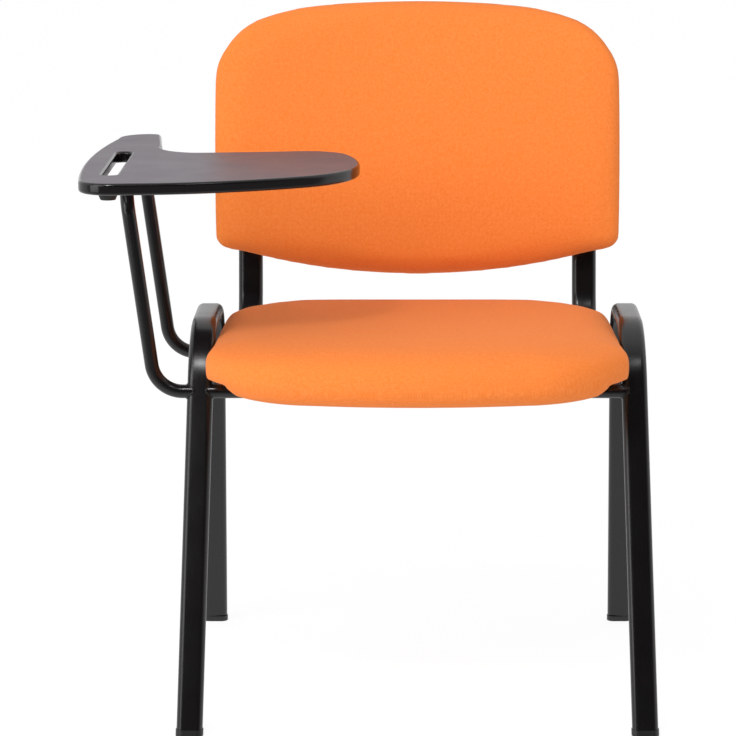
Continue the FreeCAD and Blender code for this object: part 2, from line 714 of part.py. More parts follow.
def rear_bolt_places():
    """Where the rear cross bar's bolts stand, in the same way."""
    under = "Sizes.bar_z - Sizes.bar_diameter / 2"
    return [
        ("-Sizes.seat_rear_bolt_reach", "Sizes.bar_y", under),
        ("Sizes.seat_rear_bolt_reach", "Sizes.bar_y", under),
    ]


def measured(place):
    """A place that is written in formulas, as a point."""
    return Vector(*[float(sheet.evalExpression(f.replace("Sizes.", ""))) for f in place])


def make_seat_board():
    """The plywood seat board, drilled and counterbored for its tee nuts."""
    body = new_body("seat_board_blank")
    outline = new_sketch(body, "seat_board_outline", "XY_Plane")
    seat_outline(outline, "Sizes.seat_board_inset")
    doc.recompute()
    pad(body, outline, "Sizes.seat_board_thick", "seat_board_pad")
    holes = new_sketch(body, "seat_board_holes", "XY_Plane")
    for x, y, _ in seat_bolt_places() + rear_bolt_places():
        draw_circle(holes, "Sizes.tee_hole_diameter", x, y)
    doc.recompute()
    cut_through(body, holes, "seat_board_drill")
    recesses = new_sketch(body, "seat_board_recesses", "XY_Plane")
    recesses.AttachmentOffset = Placement(Vector(0, 0, size("seat_board_thick")), Rotation())
    bind(recesses, AttachmentOffset__Base__z="Sizes.seat_board_thick")
    for x, y, _ in seat_bolt_places() + rear_bolt_places():
        draw_circle(recesses, "Sizes.tee_recess_diameter", x, y)
    doc.recompute()
    before = body.Shape.Volume
    recess = body.newObject("PartDesign::Pocket", "seat_board_counterbore")
    recess.Profile = recesses
    bind(recess, Length="Sizes.tee_flange_thick")
    doc.recompute()
    if not body.Shape.Volume < before:
        raise ValueError("the seat board's counterbores cut nothing")
    body.Placement = Placement(Vector(0, 0, size("board_underside")), Rotation())
    bind(body, Placement__Base__z="Sizes.board_underside")
    keep("seat_board", body)


def bolt(length):
    """A bolt along +Z with its head below the origin and a hexagon socket in the head."""
    height = size("bolt_head_height")
    head = Part.makeCylinder(size("bolt_head_diameter") / 2, height, Vector(0, 0, -height))
    shank = Part.makeCylinder(size("bolt_diameter") / 2, length)
    corner = size("socket_width") / math.sqrt(3)
    points = [
        Vector(corner * math.cos(math.radians(a)), corner * math.sin(math.radians(a)), -height)
        for a in range(0, 361, 60)
    ]
    socket = Part.Face(Part.makePolygon(points)).extrude(Vector(0, 0, size("socket_depth")))
    return head.fuse(shank).removeSplitter().cut(socket)


def tee_nut():
    """A tee nut with its flange's outer face at the origin and its barrel along -Z."""
    flange = Part.makeCylinder(
        size("tee_flange_diameter") / 2, size("tee_flange_thick"),
        Vector(0, 0, -size("tee_flange_thick")),
    )
    reach = size("tee_flange_thick") + size("tee_barrel_length")
    barrel = Part.makeCylinder(size("tee_barrel_diameter") / 2, reach, Vector(0, 0, -reach))
    bore = Part.makeCylinder(size("hole_diameter") / 2, reach, Vector(0, 0, -reach))
    return flange.fuse(barrel).removeSplitter().cut(bore)


def placed(shape, placement):
    copy = shape.copy()
    copy.Placement = placement
    return copy


def make_seat_fasteners():
    """The seat board's bolts and tee nuts, and the sleeves round its rear bolts."""
    groups = {
        "seat_bolts": (bolt(size("seat_bolt_length")), seat_bolt_places()),
        "seat_rear_bolts": (bolt(size("seat_rear_bolt_length")), rear_bolt_places()),
    }
    for name, (one_bolt, places) in groups.items():
        bolts = [placed(one_bolt, Placement(measured(place), Rotation())) for place in places]
        keep(name, shaped(name, Part.Compound(bolts)))
    top = size("board_underside") + size("seat_board_thick")
    nuts = []
    for place in seat_bolt_places() + rear_bolt_places():
        spot_in_board = measured(place)
        spot_in_board.z = top
        nuts.append(placed(tee_nut(), Placement(spot_in_board, Rotation())))
    keep("seat_tee_nuts", shaped("seat_tee_nuts", Part.Compound(nuts)))
    gap = size("spacer_gap")
    sleeve = Part.makeCylinder(size("spacer_diameter") / 2, size("tube_depth") - 2 * gap)
    sleeve = sleeve.cut(Part.makeCylinder(size("hole_diameter") / 2, size("tube_depth")))
    sleeves = []
    for place in rear_bolt_places():
        foot = measured(place)
        foot.z = size("board_underside") - size("tube_depth") + gap
        sleeves.append(placed(sleeve, Placement(foot, Rotation())))
    keep("seat_spacers", shaped("seat_spacers", Part.Compound(sleeves)))


def back_panel(name, inner_curve, thickness, inset):
    """A curved panel of the back in the back's own frame: an arched slab trimmed to the outline."""
    body = new_body(name)
    arch = new_sketch(body, name + "_arch", "XY_Plane")
    reach = "Sizes.back_width / 2"
    outer = f"({inner_curve} + {thickness})"

    def rim(radius, x):
        return x, f"Sizes.back_axis_y + sqrt({radius} ^ 2 - ({reach}) ^ 2)"

    draw_outline(
        arch,
        rim(inner_curve, f"-{reach}"),
        [
            ("arc", ("0 * 1", f"Sizes.back_axis_y + {inner_curve}"), rim(inner_curve, reach)),
            ("line", None, rim(outer, reach)),
            ("arc", ("0 * 1", f"Sizes.back_axis_y + {outer}"), rim(outer, f"-{reach}")),
            ("line", None, rim(inner_curve, f"-{reach}")),
        ],
    )
    doc.recompute()
    pad(body, arch, "Sizes.back_start + Sizes.back_height + Sizes.overrun", name + "_slab")
    trim = new_sketch(body, name + "_trim", "XZ_Plane")
    back_outline(trim, inset)
    side = "Sizes.back_width / 2 + Sizes.overrun"
    top = "Sizes.back_start + Sizes.back_height + 2 * Sizes.overrun"
    draw_rectangle(trim, f"-({side})", "-Sizes.overrun", side, top)
    doc.recompute()
    cut_through(body, trim, name + "_outline")
    return body


def drill_back(body, name, diameter):
    """Bore a back panel for the four back bolts."""
    holes = new_sketch(body, name + "_holes", "XZ_Plane")
    for height in ("Sizes.back_bolt_low", "Sizes.back_bolt_high"):
        for x in ("Sizes.carrier_spacing / 2", "-Sizes.carrier_spacing / 2"):
            draw_circle(holes, diameter, x, height)
    doc.recompute()
    cut_through(body, holes, name + "_drill")


def back_board_face():
    """Where the back board's front face stands at the bolts, in the back's own frame."""
    half = size("carrier_spacing") / 2
    return size("back_axis_y") + math.sqrt(size("back_curve") ** 2 - half ** 2)


def make_back_board():
    """The moulded plywood back board, with recesses for the tee nuts in its front face."""
    body = back_panel(
        "back_board_panel", "Sizes.back_curve", "Sizes.back_board_thick", "Sizes.back_board_inset"
    )
    drill_back(body, "back_board", "Sizes.tee_hole_diameter")
    floor = back_board_face() + size("tee_sink") + size("tee_flange_thick")
    shape = body.Shape
    for side in (-1, 1):
        for height in (size("back_bolt_low"), size("back_bolt_high")):
            start = Vector(side * size("carrier_spacing") / 2, floor, height)
            recess = Part.makeCylinder(
                size("tee_recess_diameter") / 2, size("tee_sink") + size("tube_depth"),
                start, Vector(0, -1, 0),
            )
            shape = shape.cut(recess)
    board = shaped("back_board", shape)
    board.Placement = back_placement()
    keep("back_board", board)


def make_back_shell():
    """The moulded rear cover, with a flat raised seat for each upright."""
    body = back_panel(
        "back_shell", "Sizes.shell_inner_curve", "Sizes.shell_thick", "Sizes.shell_inset"
    )
    seats = new_sketch(body, "back_shell_seats", "XZ_Plane")
    seats.AttachmentOffset = Placement(Vector(0, 0, size("tube_depth") / 2), Rotation())
    bind(seats, AttachmentOffset__Base__z="Sizes.tube_depth / 2")
    middle = "(Sizes.back_bolt_low + Sizes.back_bolt_high) / 2"
    for x in ("Sizes.carrier_spacing / 2", "-Sizes.carrier_spacing / 2"):
        draw_rectangle(
            seats,
            f"{x} - Sizes.boss_width / 2", f"{middle} - Sizes.boss_length / 2",
            f"{x} + Sizes.boss_width / 2", f"{middle} + Sizes.boss_length / 2",
        )
    doc.recompute()
    pad(body, seats, "2 * Sizes.boss_height + Sizes.shell_thick", "back_shell_bosses")
    hollow = new_sketch(body, "back_shell_hollow", "XY_Plane")
    draw_circle(hollow, "2 * Sizes.shell_inner_curve", y="Sizes.back_axis_y")
    doc.recompute()
    cut_through(body, hollow, "back_shell_inside")
    drill_back(body, "back_shell", "Sizes.hole_diameter")
    body.Placement = back_placement()
    keep("back_shell", body)


def make_back_fasteners():
    """The back's four bolts, from behind the uprights, and their tee nuts in the board's front."""
    one_bolt, one_nut = bolt(size("back_bolt_length")), tee_nut()
    forward = Rotation(Vector(1, 0, 0), 90)
    frame = back_placement()
    face = back_board_face() + size("tee_sink")
    bolts = []
    nuts = []
    for side in (-1, 1):
        for height in (size("back_bolt_low"), size("back_bolt_high")):
            x = side * size("carrier_spacing") / 2
            seat = Placement(Vector(x, size("tube_depth") / 2, height), forward)
            bolts.append(placed(one_bolt, frame.multiply(seat)))
            nuts.append(placed(one_nut, frame.multiply(Placement(Vector(x, face, height), forward))))
    keep("back_bolts", shaped("back_bolts", Part.Compound(bolts)))
    keep("back_tee_nuts", shaped("back_tee_nuts", Part.Compound(nuts)))


def pad_section(to_space, low, high, base, crown):
    """One closed cross-section of a pad: a flat base, a bulging arc at each edge, a crowned face.

    to_space turns a place along the section and a height above the base plane into a point.
    """
    thick = crown - base
    rim, edge = thick * RIM_INSET_SHARE, thick * EDGE_INSET_SHARE
    bulge, shoulder = base + thick * BULGE_SHARE, base + thick * EDGE_HEIGHT_SHARE
    middle = (low + high) / 2
    base_low, base_high = to_space(low + rim, base), to_space(high - rim, base)
    top_low, top_high = to_space(low + edge, shoulder), to_space(high - edge, shoulder)
    return Part.Wire([
        Part.LineSegment(base_low, base_high).toShape(),
        Part.Arc(base_high, to_space(high, bulge), top_high).toShape(),
        Part.Arc(top_high, to_space(middle, crown), top_low).toShape(),
        Part.Arc(top_low, to_space(low, bulge), base_low).toShape(),
    ])


def extent(face, place, direction, reach):
    """How far a face reaches along a line through it."""
    line = Part.LineSegment(place - direction * reach, place + direction * reach).toShape()
    box = face.common(line).BoundBox
    return (
        min(box.XMin * direction.x + box.ZMin * direction.z, box.XMax * direction.x + box.ZMax * direction.z),
        max(box.XMin * direction.x + box.ZMin * direction.z, box.XMax * direction.x + box.ZMax * direction.z),
    )


def outline_wire(name, inset):
    """The seat's outline drawn in by a formula, as a wire on the XY plane."""
    body = new_body(name)
    plan = new_sketch(body, name + "_outline", "XY_Plane")
    seat_outline(plan, inset)
    doc.recompute()
    return Part.Wire(Part.sortEdges(plan.Shape.Edges)[0])


def make_seat_pad():
    """The upholstered seat pad, lofted from its rim to its crown and hollowed for the seat board."""
    height, depth = size("seat_pad_height"), size("seat_depth")
    front, gap = -size("seat_front"), size("soft_gap")
    lip = front + SEAT_LIP_SHARE * size("seat_overhang")
    floor = size("board_underside") + size("seat_rim_lift")
    wires = []
    for number, (inset, rear_level, front_level) in enumerate(SEAT_LEVEL_SHARES):
        wire = outline_wire(f"seat_pad_level_{number}", f"({inset} * Sizes.seat_pad_height)")
        tilt = math.degrees(math.atan2((rear_level - front_level) * height, depth))
        hinge = Placement(Vector(0, front, floor + front_level * height), Rotation(Vector(1, 0, 0), tilt))
        wires.append(placed(wire, hinge.multiply(Placement(Vector(0, -front, 0), Rotation()))))
    shape = Part.makeLoft(wires, True, False, False, LOFT_DEGREE)
    board = Part.Face(outline_wire("seat_board_space", "(Sizes.seat_board_inset - Sizes.soft_gap)"))
    board.translate(Vector(0, 0, size("board_underside") - gap))
    width, deep = size("seat_width"), size("tube_depth") + height
    under = Part.makeBox(
        2 * width, 2 * depth, deep,
        Vector(-width, lip, size("board_underside") + gap - deep),
    )
    shape = shape.cut([board.extrude(Vector(0, 0, size("seat_board_thick") + 2 * gap)), under])
    keep("seat_pad", shaped("seat_pad", shape))


def make_back_pad():
    """The upholstered back pad, lofted from side to side and hollowed for the back board."""
    body = new_body("back_pad_elevation")
    elevation = new_sketch(body, "back_pad_outline", "XZ_Plane")
    back_outline(elevation, "0 * 1")
    doc.recompute()
    face = Part.Face(Part.Wire(Part.sortEdges(elevation.Shape.Edges)[0]))
    axis_y, half = size("back_axis_y"), size("back_width") / 2
    rear_curve = size("back_curve") + size("back_board_thick")
    thick = size("back_board_thick") + size("back_pad_height")
    wires = []
    sides = [(-across, crown) for across, crown in reversed(BACK_STATION_SHARES[1:])]
    for across, crown in sides + BACK_STATION_SHARES:
        x = across * half
        rear = axis_y + math.sqrt(rear_curve ** 2 - x ** 2)
        low, high = extent(face, Vector(x, 0, size("back_start")), Vector(0, 0, 1), size("back_height") * 2)
        wires.append(pad_section(
            lambda z, depth: Vector(x, rear - depth, z), low, high, 0, crown * thick
        ))
    shape = Part.makeLoft(wires, True, False, False, LOFT_DEGREE)
    gap = size("soft_gap")
    panel = back_panel(
        "back_board_space",
        "(Sizes.back_curve - Sizes.soft_gap)",
        "(Sizes.back_board_thick + 2 * Sizes.soft_gap)",
        "(Sizes.back_board_inset - Sizes.soft_gap)",
    )
    shape = shape.cut(panel.Shape)
    back = shaped("back_pad", shape)
    back.Placement = back_placement()
    keep("back_pad", back)


def arm_points():
    """The arm's route: out from the hoop's front leg, up, along the top, down and in to the rear leg.

    Its low runs lie on the axes of the cross bars, on the other side of the hoop.
    """
    low, high, y = size("bar_z"), size("hinge_height"), size("bar_y")
    root, foot, top = -size("arm_root"), -size("arm_low_reach"), -size("arm_top_reach")
    return [
        Vector(root, -y, low), Vector(foot, -y, low), Vector(top, -y, high),
        Vector(top, y, high), Vector(foot, y, low), Vector(root, y, low),
    ]


def make_arm_tube(hoop_core):
    """The tablet arm: one round tube, coped to the hoop's legs; its top run is the hinge shaft."""
    points = arm_points()
    low_bend, top_bend = size("arm_low_bend"), size("arm_top_bend")
    route = bent_wire(points, [low_bend, top_bend, top_bend, low_bend])
    radius = size("arm_diameter") / 2
    solids = []
    for r in (radius, radius - size("arm_wall")):
        ring = Part.Wire(Part.makeCircle(r, points[0], Vector(1, 0, 0)))
        solids.append(route.makePipeShell([ring], True, False))
    tube = solids[0].cut(solids[1]).cut(hoop_core.Shape)
    keep("arm_tube", shaped("arm_tube", max(tube.Solids, key=lambda solid: solid.Volume)))


def make_stop_plate():
    """The tongue welded to the arm's top run, under the tablet, that carries the stop buffers."""
    body = new_body("stop_plate")
    sketch = new_sketch(body, "stop_plate_outline", "XY_Plane")
    inner = "-Sizes.arm_top_reach + Sizes.arm_diameter / 2 + Sizes.weld_gap"
    outer = "-Sizes.arm_top_reach + Sizes.stop_length"
    draw_rectangle(sketch, inner, "-Sizes.stop_width / 2", outer, "Sizes.stop_width / 2")
    doc.recompute()
    pad(body, sketch, "Sizes.plate_thick", "stop_plate_pad", symmetric=True)
    body.Placement = Placement(Vector(0, 0, size("hinge_height")), Rotation())
    bind(body, Placement__Base__z="Sizes.hinge_height")
    keep("stop_plate", body)


def make_stop_buffers():
    """Two rubber buffers on the stop plate, which the tablet comes down on."""
    low = size("hinge_height") + size("plate_thick") / 2
    height = size("tablet_under") - size("rest_gap") - low
    x = -size("arm_top_reach") + size("buffer_reach")
    buffers = [
        Part.makeCylinder(
            size("buffer_diameter") / 2, height, Vector(x, turn * size("buffer_pitch") / 2, low)
        )
        for turn in (-1, 1)
    ]
    keep("stop_buffers", shaped("stop_buffers", Part.Compound(buffers)))


def tablet_point(share):
    across, along = share
    return (
        f"-Sizes.tablet_outer + {across} * Sizes.tablet_width",
        f"-Sizes.tablet_front + {along} * Sizes.tablet_depth",
    )


def leaf_screw_places():
    """The wood screws of the two hinge leaves: x and y."""
    x = -size("arm_top_reach") + size("screw_reach")
    half = size("screw_pitch") / 2
    return [
        (x, middle + turn * half)
        for middle in (-size("leaf_place"), size("leaf_place"))
        for turn in (-1, 1)
    ]


def make_tablet_board():
    """The writing tablet's board, with its grip slot and the pilot holes of its screws."""
    body = new_body("tablet_board_blank")
    sketch = new_sketch(body, "tablet_outline", "XY_Plane")
    steps = [
        (kind, None if through is None else tablet_point(through), tablet_point(there))
        for kind, through, there in TABLET_STEP_SHARES
    ]
    draw_outline(sketch, tablet_point(TABLET_START_SHARE), steps)
    doc.recompute()
    pad(body, sketch, "Sizes.tablet_thick", "tablet_slab")
    slot = new_sketch(body, "tablet_slot", "XY_Plane")
    left, right = ("-Sizes.slot_reach - Sizes.slot_width / 2", "-Sizes.slot_reach + Sizes.slot_width / 2")
    front = "-Sizes.slot_front + Sizes.slot_width / 2"
    rear = "-Sizes.slot_front + Sizes.slot_length - Sizes.slot_width / 2"
    draw_outline(
        slot,
        (left, front),
        [
            ("arc", ("-Sizes.slot_reach", "-Sizes.slot_front"), (right, front)),
            ("line", None, (right, rear)),
            ("arc", ("-Sizes.slot_reach", "-Sizes.slot_front + Sizes.slot_length"), (left, rear)),
            ("line", None, (left, front)),
        ],
    )
    doc.recompute()
    cut_through(body, slot, "tablet_grip_slot")
    body.Placement = Placement(Vector(0, 0, size("tablet_under")), Rotation())
    doc.recompute()
    radius = size("screw_diameter") / 2 + size("screw_play")
    depth = size("screw_length") - size("leaf_thick") + size("screw_play")
    pilots = [
        Part.makeCylinder(radius, depth, Vector(x, y, size("tablet_under")))
        for x, y in leaf_screw_places()
    ]
    keep("tablet_board", shaped("tablet_board", body.Shape.cut(pilots)))


def make_hinge_leaf(name, y):
    """A steel leaf screwed under the tablet, its end rolled into an eye round the arm's top run."""
    centre = Vector(-size("arm_top_reach"), y - size("leaf_width") / 2, size("hinge_height"))
    along = Vector(0, 1, 0)
    bore = size("arm_diameter") / 2 + size("hinge_play")
    outer = bore + size("leaf_thick")
    eye = Part.makeCylinder(outer, size("leaf_width"), centre, along)
    flat = Part.makeBox(
        size("leaf_length"), size("leaf_width"), size("leaf_thick"), centre + Vector(0, 0, bore)
    )
    leaf = eye.fuse(flat).cut(Part.makeCylinder(bore, size("leaf_width"), centre, along))
    play = size("screw_play")
    for x, place_y in leaf_screw_places():
        if abs(place_y - y) > size("leaf_width") / 2:
            continue
        low = Vector(x, place_y, size("tablet_under") - size("leaf_thick"))
        sink = (size("screw_head_diameter") - size("screw_diameter")) / 2
        leaf = leaf.cut(Part.makeCylinder(size("screw_diameter") / 2 + play, size("leaf_thick"), low))
        leaf = leaf.cut(Part.makeCone(
            size("screw_head_diameter") / 2 + play, size("screw_diameter") / 2 + play, sink, low
        ))
    keep(name, shaped(name, leaf))


def make_leaf_screws():
    """The countersunk wood screws that hold the hinge leaves to the tablet."""
    sink = (size("screw_head_diameter") - size("screw_diameter")) / 2
    screws = []
    for x, y in leaf_screw_places():
        low = Vector(x, y, size("tablet_under") - size("leaf_thick"))
        head = Part.makeCone(size("screw_head_diameter") / 2, size("screw_diameter") / 2, sink, low)
        shank = Part.makeCylinder(size("screw_diameter") / 2, size("screw_length"), low)
        screws.append(head.fuse(shank).removeSplitter())
    keep("leaf_screws", shaped("leaf_screws", Part.Compound(screws)))


def make_tablet_bumper():
    """A tapered rubber bumper under the tablet's outer front corner."""
    height = size("bumper_height")
    low = Vector(-size("bumper_reach"), -size("bumper_front"), size("tablet_under") - height)
    cone = Part.makeCone(size("bumper_tip") / 2, size("bumper_diameter") / 2, height, low)
    keep("tablet_bumper", shaped("tablet_bumper", cone))


def make_frame():
    """The hoops with their feet, the cross bars, the tubes of the seat and back, and the arm."""
    cores = [hoop_body(f"hoop_core_{side}", turn, False) for side, turn in (("left", -1), ("right", 1))]
    for side, turn in (("left", -1), ("right", 1)):
        keep(f"side_hoop_{side}", hoop_body(f"side_hoop_{side}", turn, True))
        for end, front in (("front", -1), ("rear", 1)):
            make_glide(f"glide_{end}_{side}", turn, front)
    doc.recompute()
    make_crossbar("crossbar_front", -1, cores)
    make_crossbar("crossbar_rear", 1, cores)
    for side, turn in (("left", -1), ("right", 1)):
        make_carrier(f"seat_back_tube_{side}", turn)
        x = turn * size("carrier_spacing") / 2
        front_end = Placement(
            Vector(x, -size("carrier_front"), size("carrier_z")), Rotation(Vector(1, 0, 0), 90)
        )
        make_tube_plug(f"seat_tube_plug_{side}", front_end)
        top_end = back_placement().multiply(
            Placement(Vector(x, 0, size("upright_length")), Rotation())
        )
        make_tube_plug(f"upright_cap_{side}", top_end)
    make_arm_tube(cores[0])
    make_stop_plate()
    make_stop_buffers()


def make_seat():
    make_seat_board()
    make_seat_pad()
    make_seat_fasteners()


def make_back():
    make_back_board()
    make_back_shell()
    make_back_pad()
    make_back_fasteners()


def make_tablet():
    make_tablet_board()
    make_hinge_leaf("hinge_leaf_front", -size("leaf_place"))
    make_hinge_leaf("hinge_leaf_rear", size("leaf_place"))
    make_leaf_screws()
    make_tablet_bumper()


def check_and_write():
    """Stop on any failed object or bad shape, then write one STEP file for each piece."""
    doc.recompute()
    for obj in doc.Objects:
        if {"Invalid", "Error"} & set(obj.State):
            raise ValueError(f"{obj.Label} failed: {obj.State}")
    for name, obj in nodes.items():
        if obj.Shape.isNull() or not obj.Shape.isValid() or not obj.Shape.Solids:
            raise ValueError(f"{name} has a bad shape")
    os.makedirs("parts", exist_ok=True)
    for name, obj in nodes.items():
        obj.Shape.exportStep(f"parts/{name}.step")
        box = obj.Shape.BoundBox
        print(f"{name}: {len(obj.Shape.Solids)} solid(s), {box.XLength:.1f} x {box.YLength:.1f} x {box.ZLength:.1f}")
    print(f"{len(nodes)} pieces written")


fill_sheet()
make_frame()
make_seat()
make_back()
make_tablet()
check_and_write()
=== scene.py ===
"""A stacking visitor chair with a fold-up writing tablet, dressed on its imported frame.

The frame gives every place and size. This script adds the upholstery, the bent and welded tubes,
the gloss tablet, and a finish for each piece that keeps its own shape. Sizes in the classes are in
millimetres, and meshes are made in metres.
"""

import json
import logging
import math
from dataclasses import dataclass
from enum import Enum

import bmesh
import bpy
import numpy as np
from mathutils import Matrix, Vector

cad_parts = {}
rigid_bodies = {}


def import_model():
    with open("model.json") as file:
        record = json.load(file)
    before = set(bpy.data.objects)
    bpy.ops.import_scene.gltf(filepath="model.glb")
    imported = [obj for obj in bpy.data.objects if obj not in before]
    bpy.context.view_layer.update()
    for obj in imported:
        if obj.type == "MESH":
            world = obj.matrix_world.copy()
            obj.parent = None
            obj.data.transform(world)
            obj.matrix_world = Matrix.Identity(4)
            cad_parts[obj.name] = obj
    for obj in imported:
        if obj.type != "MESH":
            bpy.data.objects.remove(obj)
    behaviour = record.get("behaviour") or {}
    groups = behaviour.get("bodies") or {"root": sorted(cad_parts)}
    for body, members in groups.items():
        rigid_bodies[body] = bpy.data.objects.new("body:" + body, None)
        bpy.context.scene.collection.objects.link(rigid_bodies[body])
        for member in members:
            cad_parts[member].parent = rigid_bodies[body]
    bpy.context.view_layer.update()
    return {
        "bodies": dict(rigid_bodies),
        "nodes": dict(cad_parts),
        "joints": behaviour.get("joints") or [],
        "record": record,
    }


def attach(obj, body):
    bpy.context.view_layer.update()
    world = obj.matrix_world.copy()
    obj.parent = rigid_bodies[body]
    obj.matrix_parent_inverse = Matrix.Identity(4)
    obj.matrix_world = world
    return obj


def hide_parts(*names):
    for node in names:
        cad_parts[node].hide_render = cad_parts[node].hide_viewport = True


MM = 0.001
SIDES = ((-1, "left"), (1, "right"))
# nearly all values of a noise texture lie between these
NOISE_LOW, NOISE_HIGH = 0.3, 0.7
log = logging.getLogger("visitor_chair")


class Finish(Enum):
    """The finishes that the chair's pieces come in."""

    ENAMEL = "frame_paint"
    FABRIC = "seat_fabric"
    PLYWOOD = "plywood"
    SHELL = "shell_plastic"
    FOOT = "foot_plastic"
    TABLET = "tablet_plastic"
    ZINC = "zinc_steel"
    RUBBER = "rubber_black"


def linear(code: str) -> tuple[float, float, float, float]:
    """Turns an sRGB hex colour into linear light.

    Args:
        code: The colour as "#RRGGBB".

    Returns:
        Red, green, blue and an opaque alpha.
    """
    values = [int(code[i : i + 2], 16) / 255 for i in (1, 3, 5)]
    light = [v / 12.92 if v <= 0.04045 else ((v + 0.055) / 1.055) ** 2.4 for v in values]
    return light[0], light[1], light[2], 1.0


def cells(width: float) -> float:
    """Gives the texture scale, per metre, at which one cell is this many millimetres wide."""
    return 1.0 / (width * MM)


def add_node(tree: bpy.types.NodeTree, kind: str, inputs: dict | None = None, **settings) -> bpy.types.Node:
    """Adds one node to a tree, sets it up and links it.

    Args:
        tree: The material's, world's or geometry tree.
        kind: The node's type.
        inputs: Values, output sockets, or nodes whose first output counts, by the name or number
            of the input that they go to.
        **settings: The node's own options.

    Returns:
        The new node.
    """
    node = tree.nodes.new(kind)
    for option, value in settings.items():
        setattr(node, option, value)
    for key, value in (inputs or {}).items():
        if isinstance(value, bpy.types.Node):
            value = value.outputs[0]
        if isinstance(value, bpy.types.NodeSocket):
            tree.links.new(value, node.inputs[key])
        else:
            node.inputs[key].default_value = value
    return node


def empty_tree(owner: bpy.types.Material | bpy.types.World) -> bpy.types.NodeTree:
    """Turns on the nodes of a material or a world and takes the first ones out.

    Args:
        owner: The material or the world.

    Returns:
        Its tree.
    """
    owner.use_nodes = True
    owner.node_tree.nodes.clear()
    return owner.node_tree


def start_material(name: str) -> tuple[bpy.types.Material, bpy.types.NodeTree]:
    """Starts a material and gives it with its empty tree."""
    material = bpy.data.materials.new(name)
    return material, empty_tree(material)


def shade(material: bpy.types.Material, inputs: dict) -> bpy.types.Material:
    """Ends a material in its one principled shader.

    Args:
        material: The material, with its patterns in its tree.
        inputs: What the shader's inputs get, as add_node takes it.

    Returns:
        The same material.
    """
    shader = add_node(material.node_tree, "ShaderNodeBsdfPrincipled", inputs)
    add_node(material.node_tree, "ShaderNodeOutputMaterial", {"Surface": shader})
    return material


def noise_between(
    tree: bpy.types.NodeTree,
    place: bpy.types.NodeSocket | bpy.types.Node,
    width: float,
    low: float,
    high: float,
    detail: float = 3.0,
) -> bpy.types.Node:
    """Makes a cloudy value that wanders between two limits.

    Args:
        tree: The material's tree.
        place: The socket or node with the coordinates.
        width: The size of one cloud in millimetres.
        low: The lower limit.
        high: The upper limit.
        detail: How many finer layers the clouds have.

    Returns:
        The node whose first output is the value.
    """
    pattern = {"Vector": place, "Scale": cells(width), "Detail": detail}
    clouds = add_node(tree, "ShaderNodeTexNoise", pattern)
    limits = {"From Min": NOISE_LOW, "From Max": NOISE_HIGH, "To Min": low, "To Max": high}
    return add_node(tree, "ShaderNodeMapRange", {"Value": clouds, **limits})


@dataclass(frozen=True)
class StovedEnamel:
    """Black epoxy powder, stoved on steel tube: an even satin skin with a faint orange peel."""

    colour: str = "#0F0D0E"
    roughness: tuple[float, float] = (0.22, 0.28)
    patch_width: float = 40.0
    ior: float = 1.5
    peel_width: float = 2.4
    peel_depth: float = 0.012

    def build(self) -> bpy.types.Material:
        """Builds the enamel.

        Returns:
            The material.
        """
        material, tree = start_material("stoved_black_enamel")
        place = add_node(tree, "ShaderNodeTexCoord").outputs["Object"]
        rough = noise_between(tree, place, self.patch_width, *self.roughness)
        peel = noise_between(tree, place, self.peel_width, 0.0, 1.0, detail=1.0)
        relief = {"Height": peel, "Distance": self.peel_depth * MM, "Strength": 1.0}
        bump = add_node(tree, "ShaderNodeBump", relief)
        tint = linear(self.colour)
        return shade(material, {"Base Color": tint, "IOR": self.ior, "Roughness": rough, "Normal": bump})


